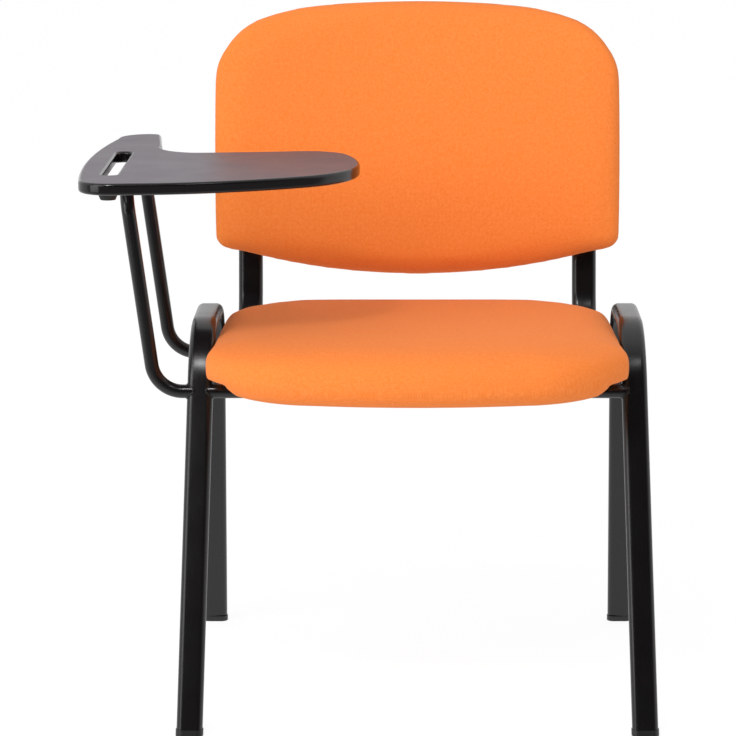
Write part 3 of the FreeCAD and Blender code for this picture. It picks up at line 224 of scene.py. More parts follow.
@dataclass(frozen=True)
class WovenPolyester:
    """Plain-woven contract polyester: spun yarns of two close oranges over foam, matt with a soft bloom.

    Its real yarns are about 0.6 mm apart, too fine to show, so the weave is drawn at 1.6 mm.
    """

    light_yarn: str = "#F48942"
    deep_yarn: str = "#ED7A2B"
    bloom_tint: str = "#FFC9A0"
    yarn_pitch: float = 1.6
    yarn_height: float = 0.22
    relief: float = 0.8
    slub_length: float = 4.5
    valley_shade: float = 0.9
    crown_shade: float = 1.03
    roughness: float = 0.92
    gloss: float = 0.25
    bloom: float = 0.22
    bloom_roughness: float = 0.45

    def build(self) -> bpy.types.Material:
        """Builds the cloth, which reads the piece's own weave map.

        Returns:
            The material.
        """
        material, tree = start_material("woven_orange_polyester")
        cloth = add_node(tree, "ShaderNodeUVMap", uv_map="weave")
        grid = {0: cloth, "Scale": cells(self.yarn_pitch)}
        pitch = add_node(tree, "ShaderNodeVectorMath", grid, operation="SCALE")
        # each yarn rises from 0 at its sides to half a pitch at its crown
        half = 0.5
        axes = add_node(tree, "ShaderNodeSeparateXYZ", {"Vector": pitch}).outputs
        warp = add_node(tree, "ShaderNodeMath", {0: axes["X"], 1: half}, operation="PINGPONG")
        weft = add_node(tree, "ShaderNodeMath", {0: axes["Y"], 1: half}, operation="PINGPONG")
        over = add_node(tree, "ShaderNodeTexChecker", {"Vector": pitch, "Scale": 1.0}).outputs["Fac"]
        crown = add_node(tree, "ShaderNodeMix", {"Factor": over, 2: warp, 3: weft}, data_type="FLOAT")
        cell = add_node(tree, "ShaderNodeVectorMath", {0: pitch}, operation="FLOOR")
        fleck = add_node(tree, "ShaderNodeTexWhiteNoise", {"Vector": cell}, noise_dimensions="2D")
        slub = noise_between(tree, cloth, self.slub_length, 0.0, 1.0, detail=4.0)
        both = add_node(tree, "ShaderNodeMath", {0: fleck, 1: slub}, operation="ADD")
        mean = add_node(tree, "ShaderNodeMath", {0: both, 1: 0.5}, operation="MULTIPLY")
        yarns = {"Factor": mean, 6: linear(self.deep_yarn), 7: linear(self.light_yarn)}
        yarn = add_node(tree, "ShaderNodeMix", yarns, data_type="RGBA").outputs[2]
        shades = {"From Max": half, "To Min": self.valley_shade, "To Max": self.crown_shade}
        valley = add_node(tree, "ShaderNodeMapRange", {"Value": crown, **shades})
        shaded = add_node(tree, "ShaderNodeVectorMath", {0: yarn, "Scale": valley}, operation="SCALE")
        relief = {"Height": crown, "Distance": self.yarn_height * MM, "Strength": self.relief}
        bump = add_node(tree, "ShaderNodeBump", relief)
        looks = {
            "Base Color": shaded,
            "Roughness": self.roughness,
            "Specular IOR Level": self.gloss,
            "Sheen Weight": self.bloom,
            "Sheen Roughness": self.bloom_roughness,
            "Sheen Tint": linear(self.bloom_tint),
            "Normal": bump,
        }
        return shade(material, looks)


@dataclass(frozen=True)
class PressedLaminate:
    """Black compact laminate: a finely pebbled writing face, and a milled and polished edge.

    The real pebbles are about 0.4 mm wide, so they are drawn at 1 mm to show at all.
    """

    edge: str = "#0F0C0D"
    # painted reflection: the black face lightened to the grey-mauve that the white surround gives it at a
    # grazing view
    face: str = "#544D56"
    edge_roughness: float = 0.16
    face_roughness: tuple[float, float] = (0.43, 0.49)
    wear_width: float = 55.0
    edge_tilt: float = 0.93
    face_tilt: float = 0.995
    pebble_width: float = 1.0
    pebble_depth: float = 0.02
    ior: float = 1.46

    def build(self) -> bpy.types.Material:
        """Builds the laminate, which tells its face from its edge by how level the surface lies and paints
        the face lighter.

        Returns:
            The material.
        """
        material, tree = start_material("pressed_black_laminate")
        spot = add_node(tree, "ShaderNodeTexCoord").outputs
        lean = add_node(tree, "ShaderNodeSeparateXYZ", {"Vector": spot["Normal"]}).outputs["Z"]
        tilt = add_node(tree, "ShaderNodeMath", {0: lean}, operation="ABSOLUTE")
        tilts = {"Value": tilt, "From Min": self.edge_tilt, "From Max": self.face_tilt}
        level = add_node(tree, "ShaderNodeMapRange", tilts)
        # level faces take the painted reflection colour, while edges keep the laminate's own black
        tints = {"Factor": level, 6: linear(self.edge), 7: linear(self.face)}
        tint = add_node(tree, "ShaderNodeMix", tints, data_type="RGBA").outputs[2]
        worn = noise_between(tree, spot["Object"], self.wear_width, *self.face_roughness, detail=5.0)
        sheens = {"Factor": level, 2: self.edge_roughness, 3: worn}
        rough = add_node(tree, "ShaderNodeMix", sheens, data_type="FLOAT")
        pebbles = noise_between(tree, spot["Object"], self.pebble_width, 0.0, 1.0, detail=1.0)
        relief = {"Height": pebbles, "Distance": self.pebble_depth * MM, "Strength": level}
        bump = add_node(tree, "ShaderNodeBump", relief)
        return shade(material, {"Base Color": tint, "IOR": self.ior, "Roughness": rough, "Normal": bump})


@dataclass(frozen=True)
class MouldedPlastic:
    """Moulded polypropylene or nylon: dull black with a fine spark-eroded grain.

    The real grain is about 0.3 mm, so it is drawn some four times as coarse to show at all.
    """

    name: str
    colour: str = "#1B1B1C"
    roughness: tuple[float, float] = (0.45, 0.55)
    grain_width: float = 1.1
    grain_depth: float = 0.05
    patch_width: float = 25.0
    ior: float = 1.49

    def build(self) -> bpy.types.Material:
        """Builds the plastic.

        Returns:
            The material.
        """
        material, tree = start_material(self.name)
        place = add_node(tree, "ShaderNodeTexCoord").outputs["Object"]
        rough = noise_between(tree, place, self.patch_width, *self.roughness)
        grain = noise_between(tree, place, self.grain_width, 0.0, 1.0, detail=2.0)
        relief = {"Height": grain, "Distance": self.grain_depth * MM, "Strength": 1.0}
        bump = add_node(tree, "ShaderNodeBump", relief)
        tint = linear(self.colour)
        return shade(material, {"Base Color": tint, "IOR": self.ior, "Roughness": rough, "Normal": bump})


@dataclass(frozen=True)
class ZincPlate:
    """Bright zinc plate on steel fasteners: a soft cold shine with faint blotches."""

    colour: str = "#B8BABD"
    roughness: tuple[float, float] = (0.26, 0.42)
    blotch_width: float = 3.0

    def build(self) -> bpy.types.Material:
        """Builds the plating.

        Returns:
            The material.
        """
        material, tree = start_material("bright_zinc_plate")
        place = add_node(tree, "ShaderNodeTexCoord").outputs["Object"]
        rough = noise_between(tree, place, self.blotch_width, *self.roughness)
        return shade(material, {"Base Color": linear(self.colour), "Metallic": 1.0, "Roughness": rough})


@dataclass(frozen=True)
class BlackRubber:
    """Moulded natural rubber: black, dull and very slightly dusty."""

    colour: str = "#171717"
    dust: str = "#3A3937"
    dust_share: float = 0.25
    dust_width: float = 8.0
    roughness: tuple[float, float] = (0.62, 0.78)
    patch_width: float = 5.0
    ior: float = 1.52

    def build(self) -> bpy.types.Material:
        """Builds the rubber.

        Returns:
            The material.
        """
        material, tree = start_material("moulded_black_rubber")
        place = add_node(tree, "ShaderNodeTexCoord").outputs["Object"]
        dusty = noise_between(tree, place, self.dust_width, 0.0, self.dust_share)
        tints = {"Factor": dusty, 6: linear(self.colour), 7: linear(self.dust)}
        tint = add_node(tree, "ShaderNodeMix", tints, data_type="RGBA").outputs[2]
        rough = noise_between(tree, place, self.patch_width, *self.roughness)
        return shade(material, {"Base Color": tint, "IOR": self.ior, "Roughness": rough})


@dataclass(frozen=True)
class BeechPly:
    """Raw moulded beech plywood: a dull pale face with a fine darker grain along it."""

    pale: str = "#D9B88F"
    dark: str = "#B98F63"
    grain_width: float = 2.5
    grain_length: float = 70.0
    grain_depth: float = 0.05
    relief: float = 0.6
    roughness: float = 0.62
    ior: float = 1.45

    def build(self) -> bpy.types.Material:
        """Builds the plywood, whose face grain runs across the chair.

        Returns:
            The material.
        """
        material, tree = start_material("raw_beech_plywood")
        place = add_node(tree, "ShaderNodeTexCoord").outputs["Object"]
        squeeze = {"Vector": place, "Scale": (self.grain_width / self.grain_length, 1.0, 1.0)}
        long_way = add_node(tree, "ShaderNodeMapping", squeeze)
        grain = noise_between(tree, long_way, self.grain_width, 0.0, 1.0, detail=4.0)
        tints = {"Factor": grain, 6: linear(self.pale), 7: linear(self.dark)}
        tint = add_node(tree, "ShaderNodeMix", tints, data_type="RGBA").outputs[2]
        relief = {"Height": grain, "Distance": self.grain_depth * MM, "Strength": self.relief}
        bump = add_node(tree, "ShaderNodeBump", relief)
        looks = {"Base Color": tint, "IOR": self.ior, "Roughness": self.roughness, "Normal": bump}
        return shade(material, looks)


class Finishes:
    """The chair's materials, one for each finish."""

    def __init__(self) -> None:
        """Builds every material once."""
        self.materials = {
            Finish.ENAMEL: StovedEnamel().build(),
            Finish.FABRIC: WovenPolyester().build(),
            Finish.PLYWOOD: BeechPly().build(),
            Finish.SHELL: MouldedPlastic("grained_black_polypropylene").build(),
            Finish.FOOT: MouldedPlastic("moulded_black_nylon", "#161617", (0.37, 0.47), 1.4, 0.03).build(),
            Finish.TABLET: PressedLaminate().build(),
            Finish.ZINC: ZincPlate().build(),
            Finish.RUBBER: BlackRubber().build(),
        }

    def dress(self, piece: bpy.types.Object, finish: Finish) -> None:
        """Gives a piece one finish all over.

        Args:
            piece: A new piece, or a node of the frame.
            finish: What it is finished in.
        """
        slots = piece.data.materials
        for number in range(max(1, len(slots))):
            if number < len(slots):
                slots[number] = self.materials[finish]
            else:
                slots.append(self.materials[finish])


def new_piece(name: str, mesh: bpy.types.Mesh | bpy.types.Curve) -> bpy.types.Object:
    """Puts a mesh or a curve into the scene as a piece of its own.

    Args:
        name: The piece's name.
        mesh: What it consists of.

    Returns:
        The piece, at the origin.
    """
    piece = bpy.data.objects.new(name, mesh)
    bpy.context.scene.collection.objects.link(piece)
    return piece


def settle(piece: bpy.types.Object) -> bpy.types.Object:
    """Turns what a piece's modifiers make into its plain mesh, and removes them.

    Args:
        piece: A mesh or curve object with live modifiers.

    Returns:
        The piece, or for a curve the mesh object that takes its place.
    """
    depsgraph = bpy.context.evaluated_depsgraph_get()
    mesh = bpy.data.meshes.new_from_object(piece.evaluated_get(depsgraph))
    if piece.type != "MESH":
        name = piece.name
        bpy.data.objects.remove(piece)
        return new_piece(name, mesh)
    piece.modifiers.clear()
    piece.data = mesh
    return piece


def knit(mesh: bpy.types.Mesh, gap: float) -> None:
    """Joins the points of a mesh that lie together, and turns all its faces outwards.

    Args:
        mesh: The mesh.
        gap: How far apart such points may be, in millimetres.
    """
    body = bmesh.new()
    body.from_mesh(mesh)
    bmesh.ops.remove_doubles(body, verts=body.verts, dist=gap * MM)
    bmesh.ops.recalc_face_normals(body, faces=body.faces)
    body.to_mesh(mesh)
    body.free()


def route_mesh(
    name: str, runs: list[list[Vector]], bends: list[list[float]], closed: bool
) -> bpy.types.Mesh:
    """Makes a mesh of bare edges, with the bend radius of each corner as an attribute.

    Args:
        name: The mesh's name.
        runs: One list of corners, in millimetres, for each line.
        bends: The bend radius at each corner, in millimetres.
        closed: Whether each line ends where it starts.

    Returns:
        The mesh.
    """
    points, edges, radii = [], [], []
    for corners, bend in zip(runs, bends):
        first = len(points)
        points += [Vector(c) * MM for c in corners]
        radii += [b * MM for b in bend]
        last = len(points) - 1
        edges += [(i, i + 1) for i in range(first, last)]
        if closed:
            edges.append((last, first))
    mesh = bpy.data.meshes.new(name)
    mesh.from_pydata(points, edges, [])
    attribute = mesh.attributes.new("bend", "FLOAT", "POINT")
    attribute.data.foreach_set("value", radii)
    return mesh


class NodeRecipe:
    """A geometry tree with named inputs, and the way to run it on a piece.

    Points of the finished mesh that lie within SEAM_GAP millimetres become one.
    """

    SEAM_GAP = 0.02

    def __init__(self, name: str, inputs: dict[str, str]) -> None:
        """Starts the tree.

        Args:
            name: The tree's name.
            inputs: What each input takes, as the end of its socket type, by its name.
        """
        self.tree = bpy.data.node_groups.new(name, "GeometryNodeTree")
        face = self.tree.interface
        self.sockets = {
            label: face.new_socket(name=label, in_out="INPUT", socket_type=f"NodeSocket{kind}")
            for label, kind in inputs.items()
        }
        face.new_socket(name="Made", in_out="OUTPUT", socket_type="NodeSocketGeometry")
        self.given = add_node(self.tree, "NodeGroupInput").outputs

    def close(self, shape: bpy.types.Node) -> None:
        """Ends the tree in smooth faces, realized instances and the material.

        Args:
            shape: The node that makes the shape.
        """
        smooth = add_node(self.tree, "GeometryNodeSetShadeSmooth", {"Geometry": shape})
        whole = add_node(self.tree, "GeometryNodeRealizeInstances", {"Geometry": smooth})
        dressing = {"Geometry": whole, "Material": self.given["Material"]}
        painted = add_node(self.tree, "GeometryNodeSetMaterial", dressing)
        add_node(self.tree, "NodeGroupOutput", {"Made": painted})

    def run(self, piece: bpy.types.Object, **values) -> bpy.types.Object:
        """Runs the tree on a piece and keeps the plain mesh that it makes.

        Args:
            piece: The object that carries the route.
            **values: The inputs, with _ for each space in their names.

        Returns:
            The finished piece.
        """
        modifier = piece.modifiers.new(self.tree.name, "NODES")
        modifier.node_group = self.tree
        for label, value in values.items():
            modifier[self.sockets[label.replace("_", " ")].identifier] = value
        settle(piece)
        knit(piece.data, self.SEAM_GAP)
        return piece


class TubeBender(NodeRecipe):
    """Bends a flat oval or round tube along a route of corners."""

    def __init__(self, corner_steps: int = 22, rim_steps: int = 9, rim_share: float = 0.4999) -> None:
        """Builds the tree.

        Args:
            corner_steps: Points round each bend.
            rim_steps: Points round each quarter of the tube.
            rim_share: The radius of those quarters as a share of the narrow way, a hair under half
                so that no side of a round tube shrinks to nothing.
        """
        inputs = {"Route": "Geometry", "Width": "Float", "Depth": "Float", "Material": "Material"}
        super().__init__("bent_tube", inputs)
        tree, given = self.tree, self.given
        bend = add_node(tree, "GeometryNodeInputNamedAttribute", {"Name": "bend"}, data_type="FLOAT")
        line = add_node(tree, "GeometryNodeMeshToCurve", {"Mesh": given["Route"]})
        corners = {"Curve": line, "Count": corner_steps, "Radius": bend}
        path = add_node(tree, "GeometryNodeFilletCurve", corners, mode="POLY")
        steady = add_node(tree, "GeometryNodeSetCurveNormal", {"Curve": path}, mode="Z_UP")
        sides = {"Width": given["Width"], "Height": given["Depth"]}
        block = add_node(tree, "GeometryNodeCurvePrimitiveQuadrilateral", sides, mode="RECTANGLE")
        half = add_node(tree, "ShaderNodeMath", {0: given["Depth"], 1: rim_share}, operation="MULTIPLY")
        quarters = {"Curve": block, "Count": rim_steps, "Radius": half}
        rim = add_node(tree, "GeometryNodeFilletCurve", quarters, mode="POLY")
        sweep = {"Curve": steady, "Profile Curve": rim, "Fill Caps": True}
        self.close(add_node(tree, "GeometryNodeCurveToMesh", sweep))

    def bend(
        self,
        name: str,
        corners: list,
        bends: list[float],
        width: float,
        depth: float,
        material: bpy.types.Material,
    ) -> bpy.types.Object:
        """Makes one tube.

        Args:
            name: The piece's name.
            corners: The route's corners in millimetres.
            bends: The bend radius at each corner.
            width: The tube's wide way, across the route's upright plane.
            depth: The tube's narrow way.
            material: What it is finished in.

        Returns:
            The tube as a plain mesh.
        """
        piece = new_piece(name, route_mesh(name, [corners], [bends], closed=False))
        return self.run(piece, Width=width * MM, Depth=depth * MM, Material=material)


class Welder(NodeRecipe):
    """Lays weld beads along lines or rings.

    A ripple comes every RIPPLE_LENGTH millimetres and changes the radius by RIPPLE_SHARE of it.
    """

    RIPPLE_LENGTH = 1.9
    RIPPLE_SHARE = 0.1

    def __init__(self, spacing: float = 0.6, rim_points: int = 8) -> None:
        """Builds the tree.

        Args:
            spacing: How far apart the points along a bead are, in millimetres.
            rim_points: Points round the bead.
        """
        sizes = ("Bead Radius", "Ripple Length", "Ripple Share")
        inputs = {"Route": "Geometry", **dict.fromkeys(sizes, "Float"), "Material": "Material"}
        super().__init__("weld_bead", inputs)
        tree, given = self.tree, self.given
        line = add_node(tree, "GeometryNodeMeshToCurve", {"Mesh": given["Route"]})
        points = {"Curve": line, "Length": spacing * MM}
        even = add_node(tree, "GeometryNodeResampleCurve", points, mode="LENGTH")
        along = add_node(tree, "GeometryNodeSplineParameter").outputs["Length"]
        turns = add_node(tree, "ShaderNodeMath", {0: along, 1: given["Ripple Length"]}, operation="DIVIDE")
        angle = add_node(tree, "ShaderNodeMath", {0: turns, 1: math.tau}, operation="MULTIPLY")
        wave = add_node(tree, "ShaderNodeMath", {0: angle}, operation="SINE")
        ripple = {0: wave, 1: given["Ripple Share"], 2: 1.0}
        swell = add_node(tree, "ShaderNodeMath", ripple, operation="MULTIPLY_ADD")
        rippled = add_node(tree, "GeometryNodeSetCurveRadius", {"Curve": even, "Radius": swell})
        rim = {"Resolution": rim_points, "Radius": given["Bead Radius"]}
        bead = add_node(tree, "GeometryNodeCurvePrimitiveCircle", rim)
        sweep = {"Curve": rippled, "Profile Curve": bead, "Scale": swell, "Fill Caps": True}
        self.close(add_node(tree, "GeometryNodeCurveToMesh", sweep))

    def lay(
        self, name: str, runs: list, closed: bool, radius: float, material: bpy.types.Material
    ) -> bpy.types.Object:
        """Lays beads.

        Args:
            name: The piece's name.
            runs: The line of each bead, as points in millimetres.
            closed: Whether the beads are rings.
            radius: A bead's radius in millimetres.
            material: What they are finished in.

        Returns:
            The beads as one plain mesh.
        """
        piece = new_piece(name, route_mesh(name, runs, [[0.0] * len(r) for r in runs], closed))
        return self.run(
            piece,
            Bead_Radius=radius * MM,
            Ripple_Length=self.RIPPLE_LENGTH * MM,
            Ripple_Share=self.RIPPLE_SHARE,
            Material=material,
        )


@dataclass
class Workshop:
    """What every sub-assembly is handed: the frame, the finishes and the tools."""

    nodes: dict
    finishes: Finishes
    bender: TubeBender
    welder: Welder

    def bend_tube(
        self, name: str, corners: list, bends: list[float], section: tuple[float, float], node: str
    ) -> None:
        """Bends an enamelled tube and fixes it to the frame.

        Args:
            name: The piece's name.
            corners: The route's corners in millimetres.
            bends: The bend radius at each corner.
            section: The tube's wide way and its narrow way.
            node: The frame node that it replaces.
        """
        enamel = self.finishes.materials[Finish.ENAMEL]
        self.fit(self.bender.bend(name, corners, bends, *section, enamel), "frame", Finish.ENAMEL, node)

    def lay_welds(self, name: str, runs: list, closed: bool, radius: float) -> None:
        """Lays enamelled weld beads and fixes them to the frame.

        Args:
            name: The piece's name.
            runs: The line of each bead, as points in millimetres.
            closed: Whether the beads are rings.
            radius: A bead's radius in millimetres.
        """
        enamel = self.finishes.materials[Finish.ENAMEL]
        self.fit(self.welder.lay(name, runs, closed, radius, enamel), "frame", Finish.ENAMEL)

    def keep_nodes(self, finish: Finish, *names: str) -> None:
        """Gives frame nodes that keep their shape a better finish.

        Args:
            finish: What they are finished in.
            *names: The nodes.
        """
        for name in names:
            self.finishes.dress(self.nodes[name], finish)
            log.info("kept %s, finished in %s", name, finish.value)

    def fit(self, piece: bpy.types.Object, body: str, finish: Finish, *replaced: str) -> None:
        """Finishes a new piece, hides the frame nodes that it replaces, and fixes it to a body.

        Args:
            piece: The finished piece.
            body: The body that it rides on.
            finish: The record's finish that it takes.
            *replaced: The frame nodes that it replaces.
        """
        self.finishes.dress(piece, finish)
        if replaced:
            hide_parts(*replaced)
        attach(piece, body)
        log.info("made %s, %d faces", piece.name, len(piece.data.polygons))


@dataclass
class SideHoops:
    """The two hoops of flat oval tube that carry the chair, with their feet."""

    foot_reach: float = 260.0
    foot_spacing: float = 480.0
    top: float = 449.0
    lean: float = 18.0
    splay: float = 1.4
    bend: float = 80.0
    wide: float = 30.0
    narrow: float = 15.0
    foot_rise: float = 3.0

    def leg_x(self, height: float) -> float:
        """Gives how far out a leg's centre is at a height."""
        return self.foot_reach - height * math.tan(math.radians(self.splay))

    def leg_y(self, height: float) -> float:
        """Gives how far from the middle a leg's centre is at a height."""
        return self.foot_spacing / 2 - height * math.tan(math.radians(self.lean))

    def build(self, shop: Workshop) -> None:
        """Makes both hoops and finishes the feet.

        Args:
            shop: The frame, the finishes and the tools.
        """
        tilt = math.radians(self.splay)
        ridge = (self.top - self.narrow / 2) / math.cos(tilt)
        low, high = self.leg_y(self.foot_rise), self.leg_y(ridge)
        flat = [(0, -low, self.foot_rise), (0, -high, ridge), (0, high, ridge), (0, low, self.foot_rise)]
        bends = [0.0, self.bend, self.bend, 0.0]
        section = (self.wide, self.narrow)
        for side, label in SIDES:
            turn = Matrix.Rotation(-side * tilt, 3, "Y")
            corners = [turn @ Vector(p) + Vector((side * self.foot_reach, 0, 0)) for p in flat]
            shop.bend_tube(f"bent_hoop_{label}", corners, bends, section, f"side_hoop_{label}")
        feet = [f"glide_{end}_{label}" for end in ("front", "rear") for _, label in SIDES]
        shop.keep_nodes(Finish.FOOT, *feet)


@dataclass
class UnderFrame:
    """The cross bars, the two tubes that carry seat and back, their plugs and the welds between them."""

    hoops: SideHoops
    bar_height: float = 375.0
    bar_offset: float = 118.155
    bar_radius: float = 8.0
    spacing: float = 415.0
    front: float = 138.005
    corner: float = 183.0
    tube_height: float = 390.5
    bend: float = 60.0
    back_lean: float = 10.0
    upright: float = 300.0
    bead: float = 1.2
    ring_points: int = 40
    fillet_out: float = 4.6
    fillet_sink: float = 1.4
    fillet_half: float = 8.0

    def build(self, shop: Workshop) -> None:
        """Makes the seat and back tubes and the weld beads, and finishes the rest.

        Args:
            shop: The frame, the finishes and the tools.
        """
        lean = math.radians(self.back_lean)
        end_y = self.corner + self.upright * math.sin(lean)
        end_z = self.tube_height + self.upright * math.cos(lean)
        bends = [0.0, self.bend, 0.0]
        section = (self.hoops.wide, self.hoops.narrow)
        for side, label in SIDES:
            x = side * self.spacing / 2
            corners = [
                (x, -self.front, self.tube_height),
                (x, self.corner, self.tube_height),
                (x, end_y, end_z),
            ]
            shop.bend_tube(f"bent_seat_tube_{label}", corners, bends, section, f"seat_back_tube_{label}")
        shop.keep_nodes(Finish.ENAMEL, "crossbar_front", "crossbar_rear")
        plugs = [f"{plug}_{label}" for plug in ("upright_cap", "seat_tube_plug") for _, label in SIDES]
        shop.keep_nodes(Finish.FOOT, *plugs)
        places = [(side, end, -1) for side in (-1, 1) for end in (-1, 1)] + [(-1, -1, 1), (-1, 1, 1)]
        rings = [self.saddle(*place) for place in places]
        shop.lay_welds("hoop_welds", rings, True, self.bead)
        lines = [self.fillet(side, end, way) for side in (-1, 1) for end in (-1, 1) for way in (-1, 1)]
        shop.lay_welds("seat_tube_welds", lines, False, self.bead)

    def saddle(self, side: int, end: int, way: int) -> list[Vector]:
        """Follows the line where a round tube on a cross bar's axis meets a leg.

        Args:
            side: -1 for the left leg, 1 for the right.
            end: -1 for the front bar, 1 for the rear.
            way: -1 for the leg's inner side, 1 for its outer side.

        Returns:
            The ring's points in millimetres.
        """
        lean = math.radians(self.hoops.lean)
        rim = self.hoops.narrow / 2
        hub = self.hoops.leg_x(self.bar_height) + way * (self.hoops.wide / 2 - rim)
        points = []
        for step in range(self.ring_points):
            turn = math.tau * step / self.ring_points
            y, z = self.bar_radius * math.cos(turn), self.bar_radius * math.sin(turn)
            off = y * math.cos(lean) + end * z * math.sin(lean)
            reach = math.sqrt(max(0.0, rim**2 - min(abs(off), rim) ** 2))
            x = hub - z * math.tan(math.radians(self.hoops.splay)) + way * reach
            points.append(Vector((side * x, end * self.bar_offset + y, self.bar_height + z)))
        return points

    def fillet(self, side: int, end: int, way: int) -> list[Vector]:
        """Follows the corner between a seat tube's flat underside and a cross bar.

        Args:
            side: -1 for the left tube, 1 for the right.
            end: -1 for the front bar, 1 for the rear.
            way: -1 for the bar's front side, 1 for its rear.

        Returns:
            The bead's points in millimetres.
        """
        middle = side * self.spacing / 2
        y = end * self.bar_offset + way * self.fillet_out
        z = self.bar_height + self.bar_radius - self.fillet_sink
        return [Vector((middle + share * self.fillet_half, y, z)) for share in (-1, 0, 1)]


@dataclass
class Cushion:
    """A foam pad under tight cloth, swollen from its frame node by a short cloth simulation.

    Its directions are unit vectors: support points at the board, across to one side, and along at
    the edge whose corners sag. A slope is a normal's share toward support, and a rise is its share
    away from it. The shoulder's foam is fullest at the first rise and ends so far above and below it
    as the other two say. The sag zone holds where it starts beside the middle, its width and its
    depth. The room is the gap to the hoops, and None where they don't stand beside the pad.
    """

    node: str
    name: str
    support: tuple[float, float, float]
    across: tuple[float, float, float]
    along: tuple[float, float, float]
    fill: float
    draw_in: float = 0.8
    held_slope: float = 0.4
    inner_slope: float = -0.3
    voxel: float = 4.5
    node_gap: float = 0.01
    smooth_rounds: int = 10
    smooth_shares: tuple[float, float] = (0.5, -0.52)
    pull_rounds: int = 6
    pressure: float = 3.0
    cloth_steps: int = 5
    frames: int = 14
    cap: float = 4.0
    swell_rounds: int = 12
    shoulder: float = 2.0
    shoulder_rise: tuple[float, float, float] = (0.42, 0.75, 1.2)
    shoulder_rounds: int = 36
    sag: float = 0.0
    sag_zone: tuple[float, float, float] = (110.0, 105.0, 160.0)
    sag_limit: float = 1.2
    room: float | None = None
    bend_flare: float = 0.12
    give: float = 5.0

    def build(self, shop: Workshop) -> None:
        """Makes the cushion.

        Args:
            shop: The frame, the finishes and the tools.
        """
        pad = new_piece(self.name, self.blank(shop.nodes[self.node]))
        remesh = pad.modifiers.new("even_faces", "REMESH")
        remesh.mode = "VOXEL"
        remesh.voxel_size = self.voxel * MM
        settle(pad)
        held = self.draw_in_free_cloth(pad)
        self.fill_shoulders(pad)
        self.round_corners(pad)
        self.swell(pad, held)
        if self.room is not None:
            self.keep_clear(pad)
        halve = pad.modifiers.new("halve_faces", "SUBSURF")
        halve.levels = 1
        halve.render_levels = 1
        settle(pad)
        pad.data.shade_smooth()
        self.map_weave(pad)
        shop.fit(pad, "frame", Finish.FABRIC, self.node)

    def blank(self, node: bpy.types.Object) -> bpy.types.Mesh:
        """Copies the frame node's mesh and closes it.

        Args:
            node: The frame node.

        Returns:
            The closed copy.
        """
        mesh = node.data.copy()
        mesh.name = self.name
        mesh.materials.clear()
        knit(mesh, self.node_gap)
        return mesh

    def read(self, pad: bpy.types.Object) -> tuple[np.ndarray, np.ndarray]:
        """Reads the places and the normals of a cushion's points.

        Args:
            pad: The cushion.

        Returns:
            The places in metres and the normals, one row for each point.
        """
        mesh = pad.data
        places = np.empty(len(mesh.vertices) * 3, np.float32)
        normals = np.empty(len(mesh.vertices) * 3, np.float32)
        mesh.vertices.foreach_get("co", places)
        mesh.vertex_normals.foreach_get("vector", normals)
        return places.reshape(-1, 3).astype(float), normals.reshape(-1, 3).astype(float)

    def place(self, pad: bpy.types.Object, places: np.ndarray) -> None:
        """Puts a cushion's points in new places."""
        pad.data.vertices.foreach_set("co", places.ravel())
        pad.data.update()

    def draw_in_free_cloth(self, pad: bpy.types.Object) -> np.ndarray:
        """Irons out the voxels' steps, and draws in the cloth that isn't held against the board.

        Args:
            pad: The remeshed cushion.

        Returns:
            For each point, whether the board or the stitching under it holds it.
        """
        places, _ = self.read(pad)
        for _ in range(self.smooth_rounds):
            for share in self.smooth_shares:
                places += share * (self.neighbours(pad.data, places) - places)
        self.place(pad, places)
        places, normals = self.read(pad)
        down = np.array(self.support)
        toward = normals @ down
        centre = places.mean(0)
        flat = (centre - places) - np.outer((centre - places) @ down, down)
        inward = np.einsum("ij,ij->i", normals, flat) > 0
        held = (toward > self.held_slope) | ((toward > self.inner_slope) & inward)
        pull = np.where(held, 0.0, self.draw_in * MM)
        pull = self.even_out(pad.data, pull[:, None], self.pull_rounds)[:, 0]
        pull[held] = 0.0
        self.place(pad, places - normals * pull[:, None])
        return held

    def neighbours(self, mesh: bpy.types.Mesh, values: np.ndarray) -> np.ndarray:
        """Gives the mean of the values of each point's neighbours.

        Args:
            mesh: The mesh.
            values: One row for each point.

        Returns:
            The means, in the same form.
        """
        edges = np.empty(len(mesh.edges) * 2, np.int32)
        mesh.edges.foreach_get("vertices", edges)
        a, b = edges.reshape(-1, 2).T
        count = np.bincount(edges, minlength=len(values)).clip(1)
        sums = [
            np.bincount(a, column[b], len(values)) + np.bincount(b, column[a], len(values))
            for column in values.T
        ]
        return np.stack(sums, 1) / count[:, None]

    def even_out(self, mesh: bpy.types.Mesh, values: np.ndarray, rounds: int) -> np.ndarray:
        """Averages values over neighbouring points.

        Args:
            mesh: The mesh.
            values: One row for each point.
            rounds: How often each value moves halfway to the mean of its neighbours.

        Returns:
            The evened values.
        """
        for _ in range(rounds):
            values = 0.5 * values + 0.5 * self.neighbours(mesh, values)
        return values

    def fill_shoulders(self, pad: bpy.types.Object) -> None:
        """Packs more foam under the rounded edge of the upholstered face.

        Args:
            pad: The drawn-in cushion.
        """
        places, normals = self.read(pad)
        down = np.array(self.support)
        rise = -(normals @ down)
        sideways = normals + np.outer(rise, down)
        fullest, above, below = self.shoulder_rise
        spread = np.where(rise > fullest, above, below)
        share = np.clip(1.0 - ((rise - fullest) / spread) ** 2, 0.0, 1.0)
        push = sideways * (share * self.shoulder * MM)[:, None]
        self.place(pad, places + self.even_out(pad.data, push, self.shoulder_rounds))

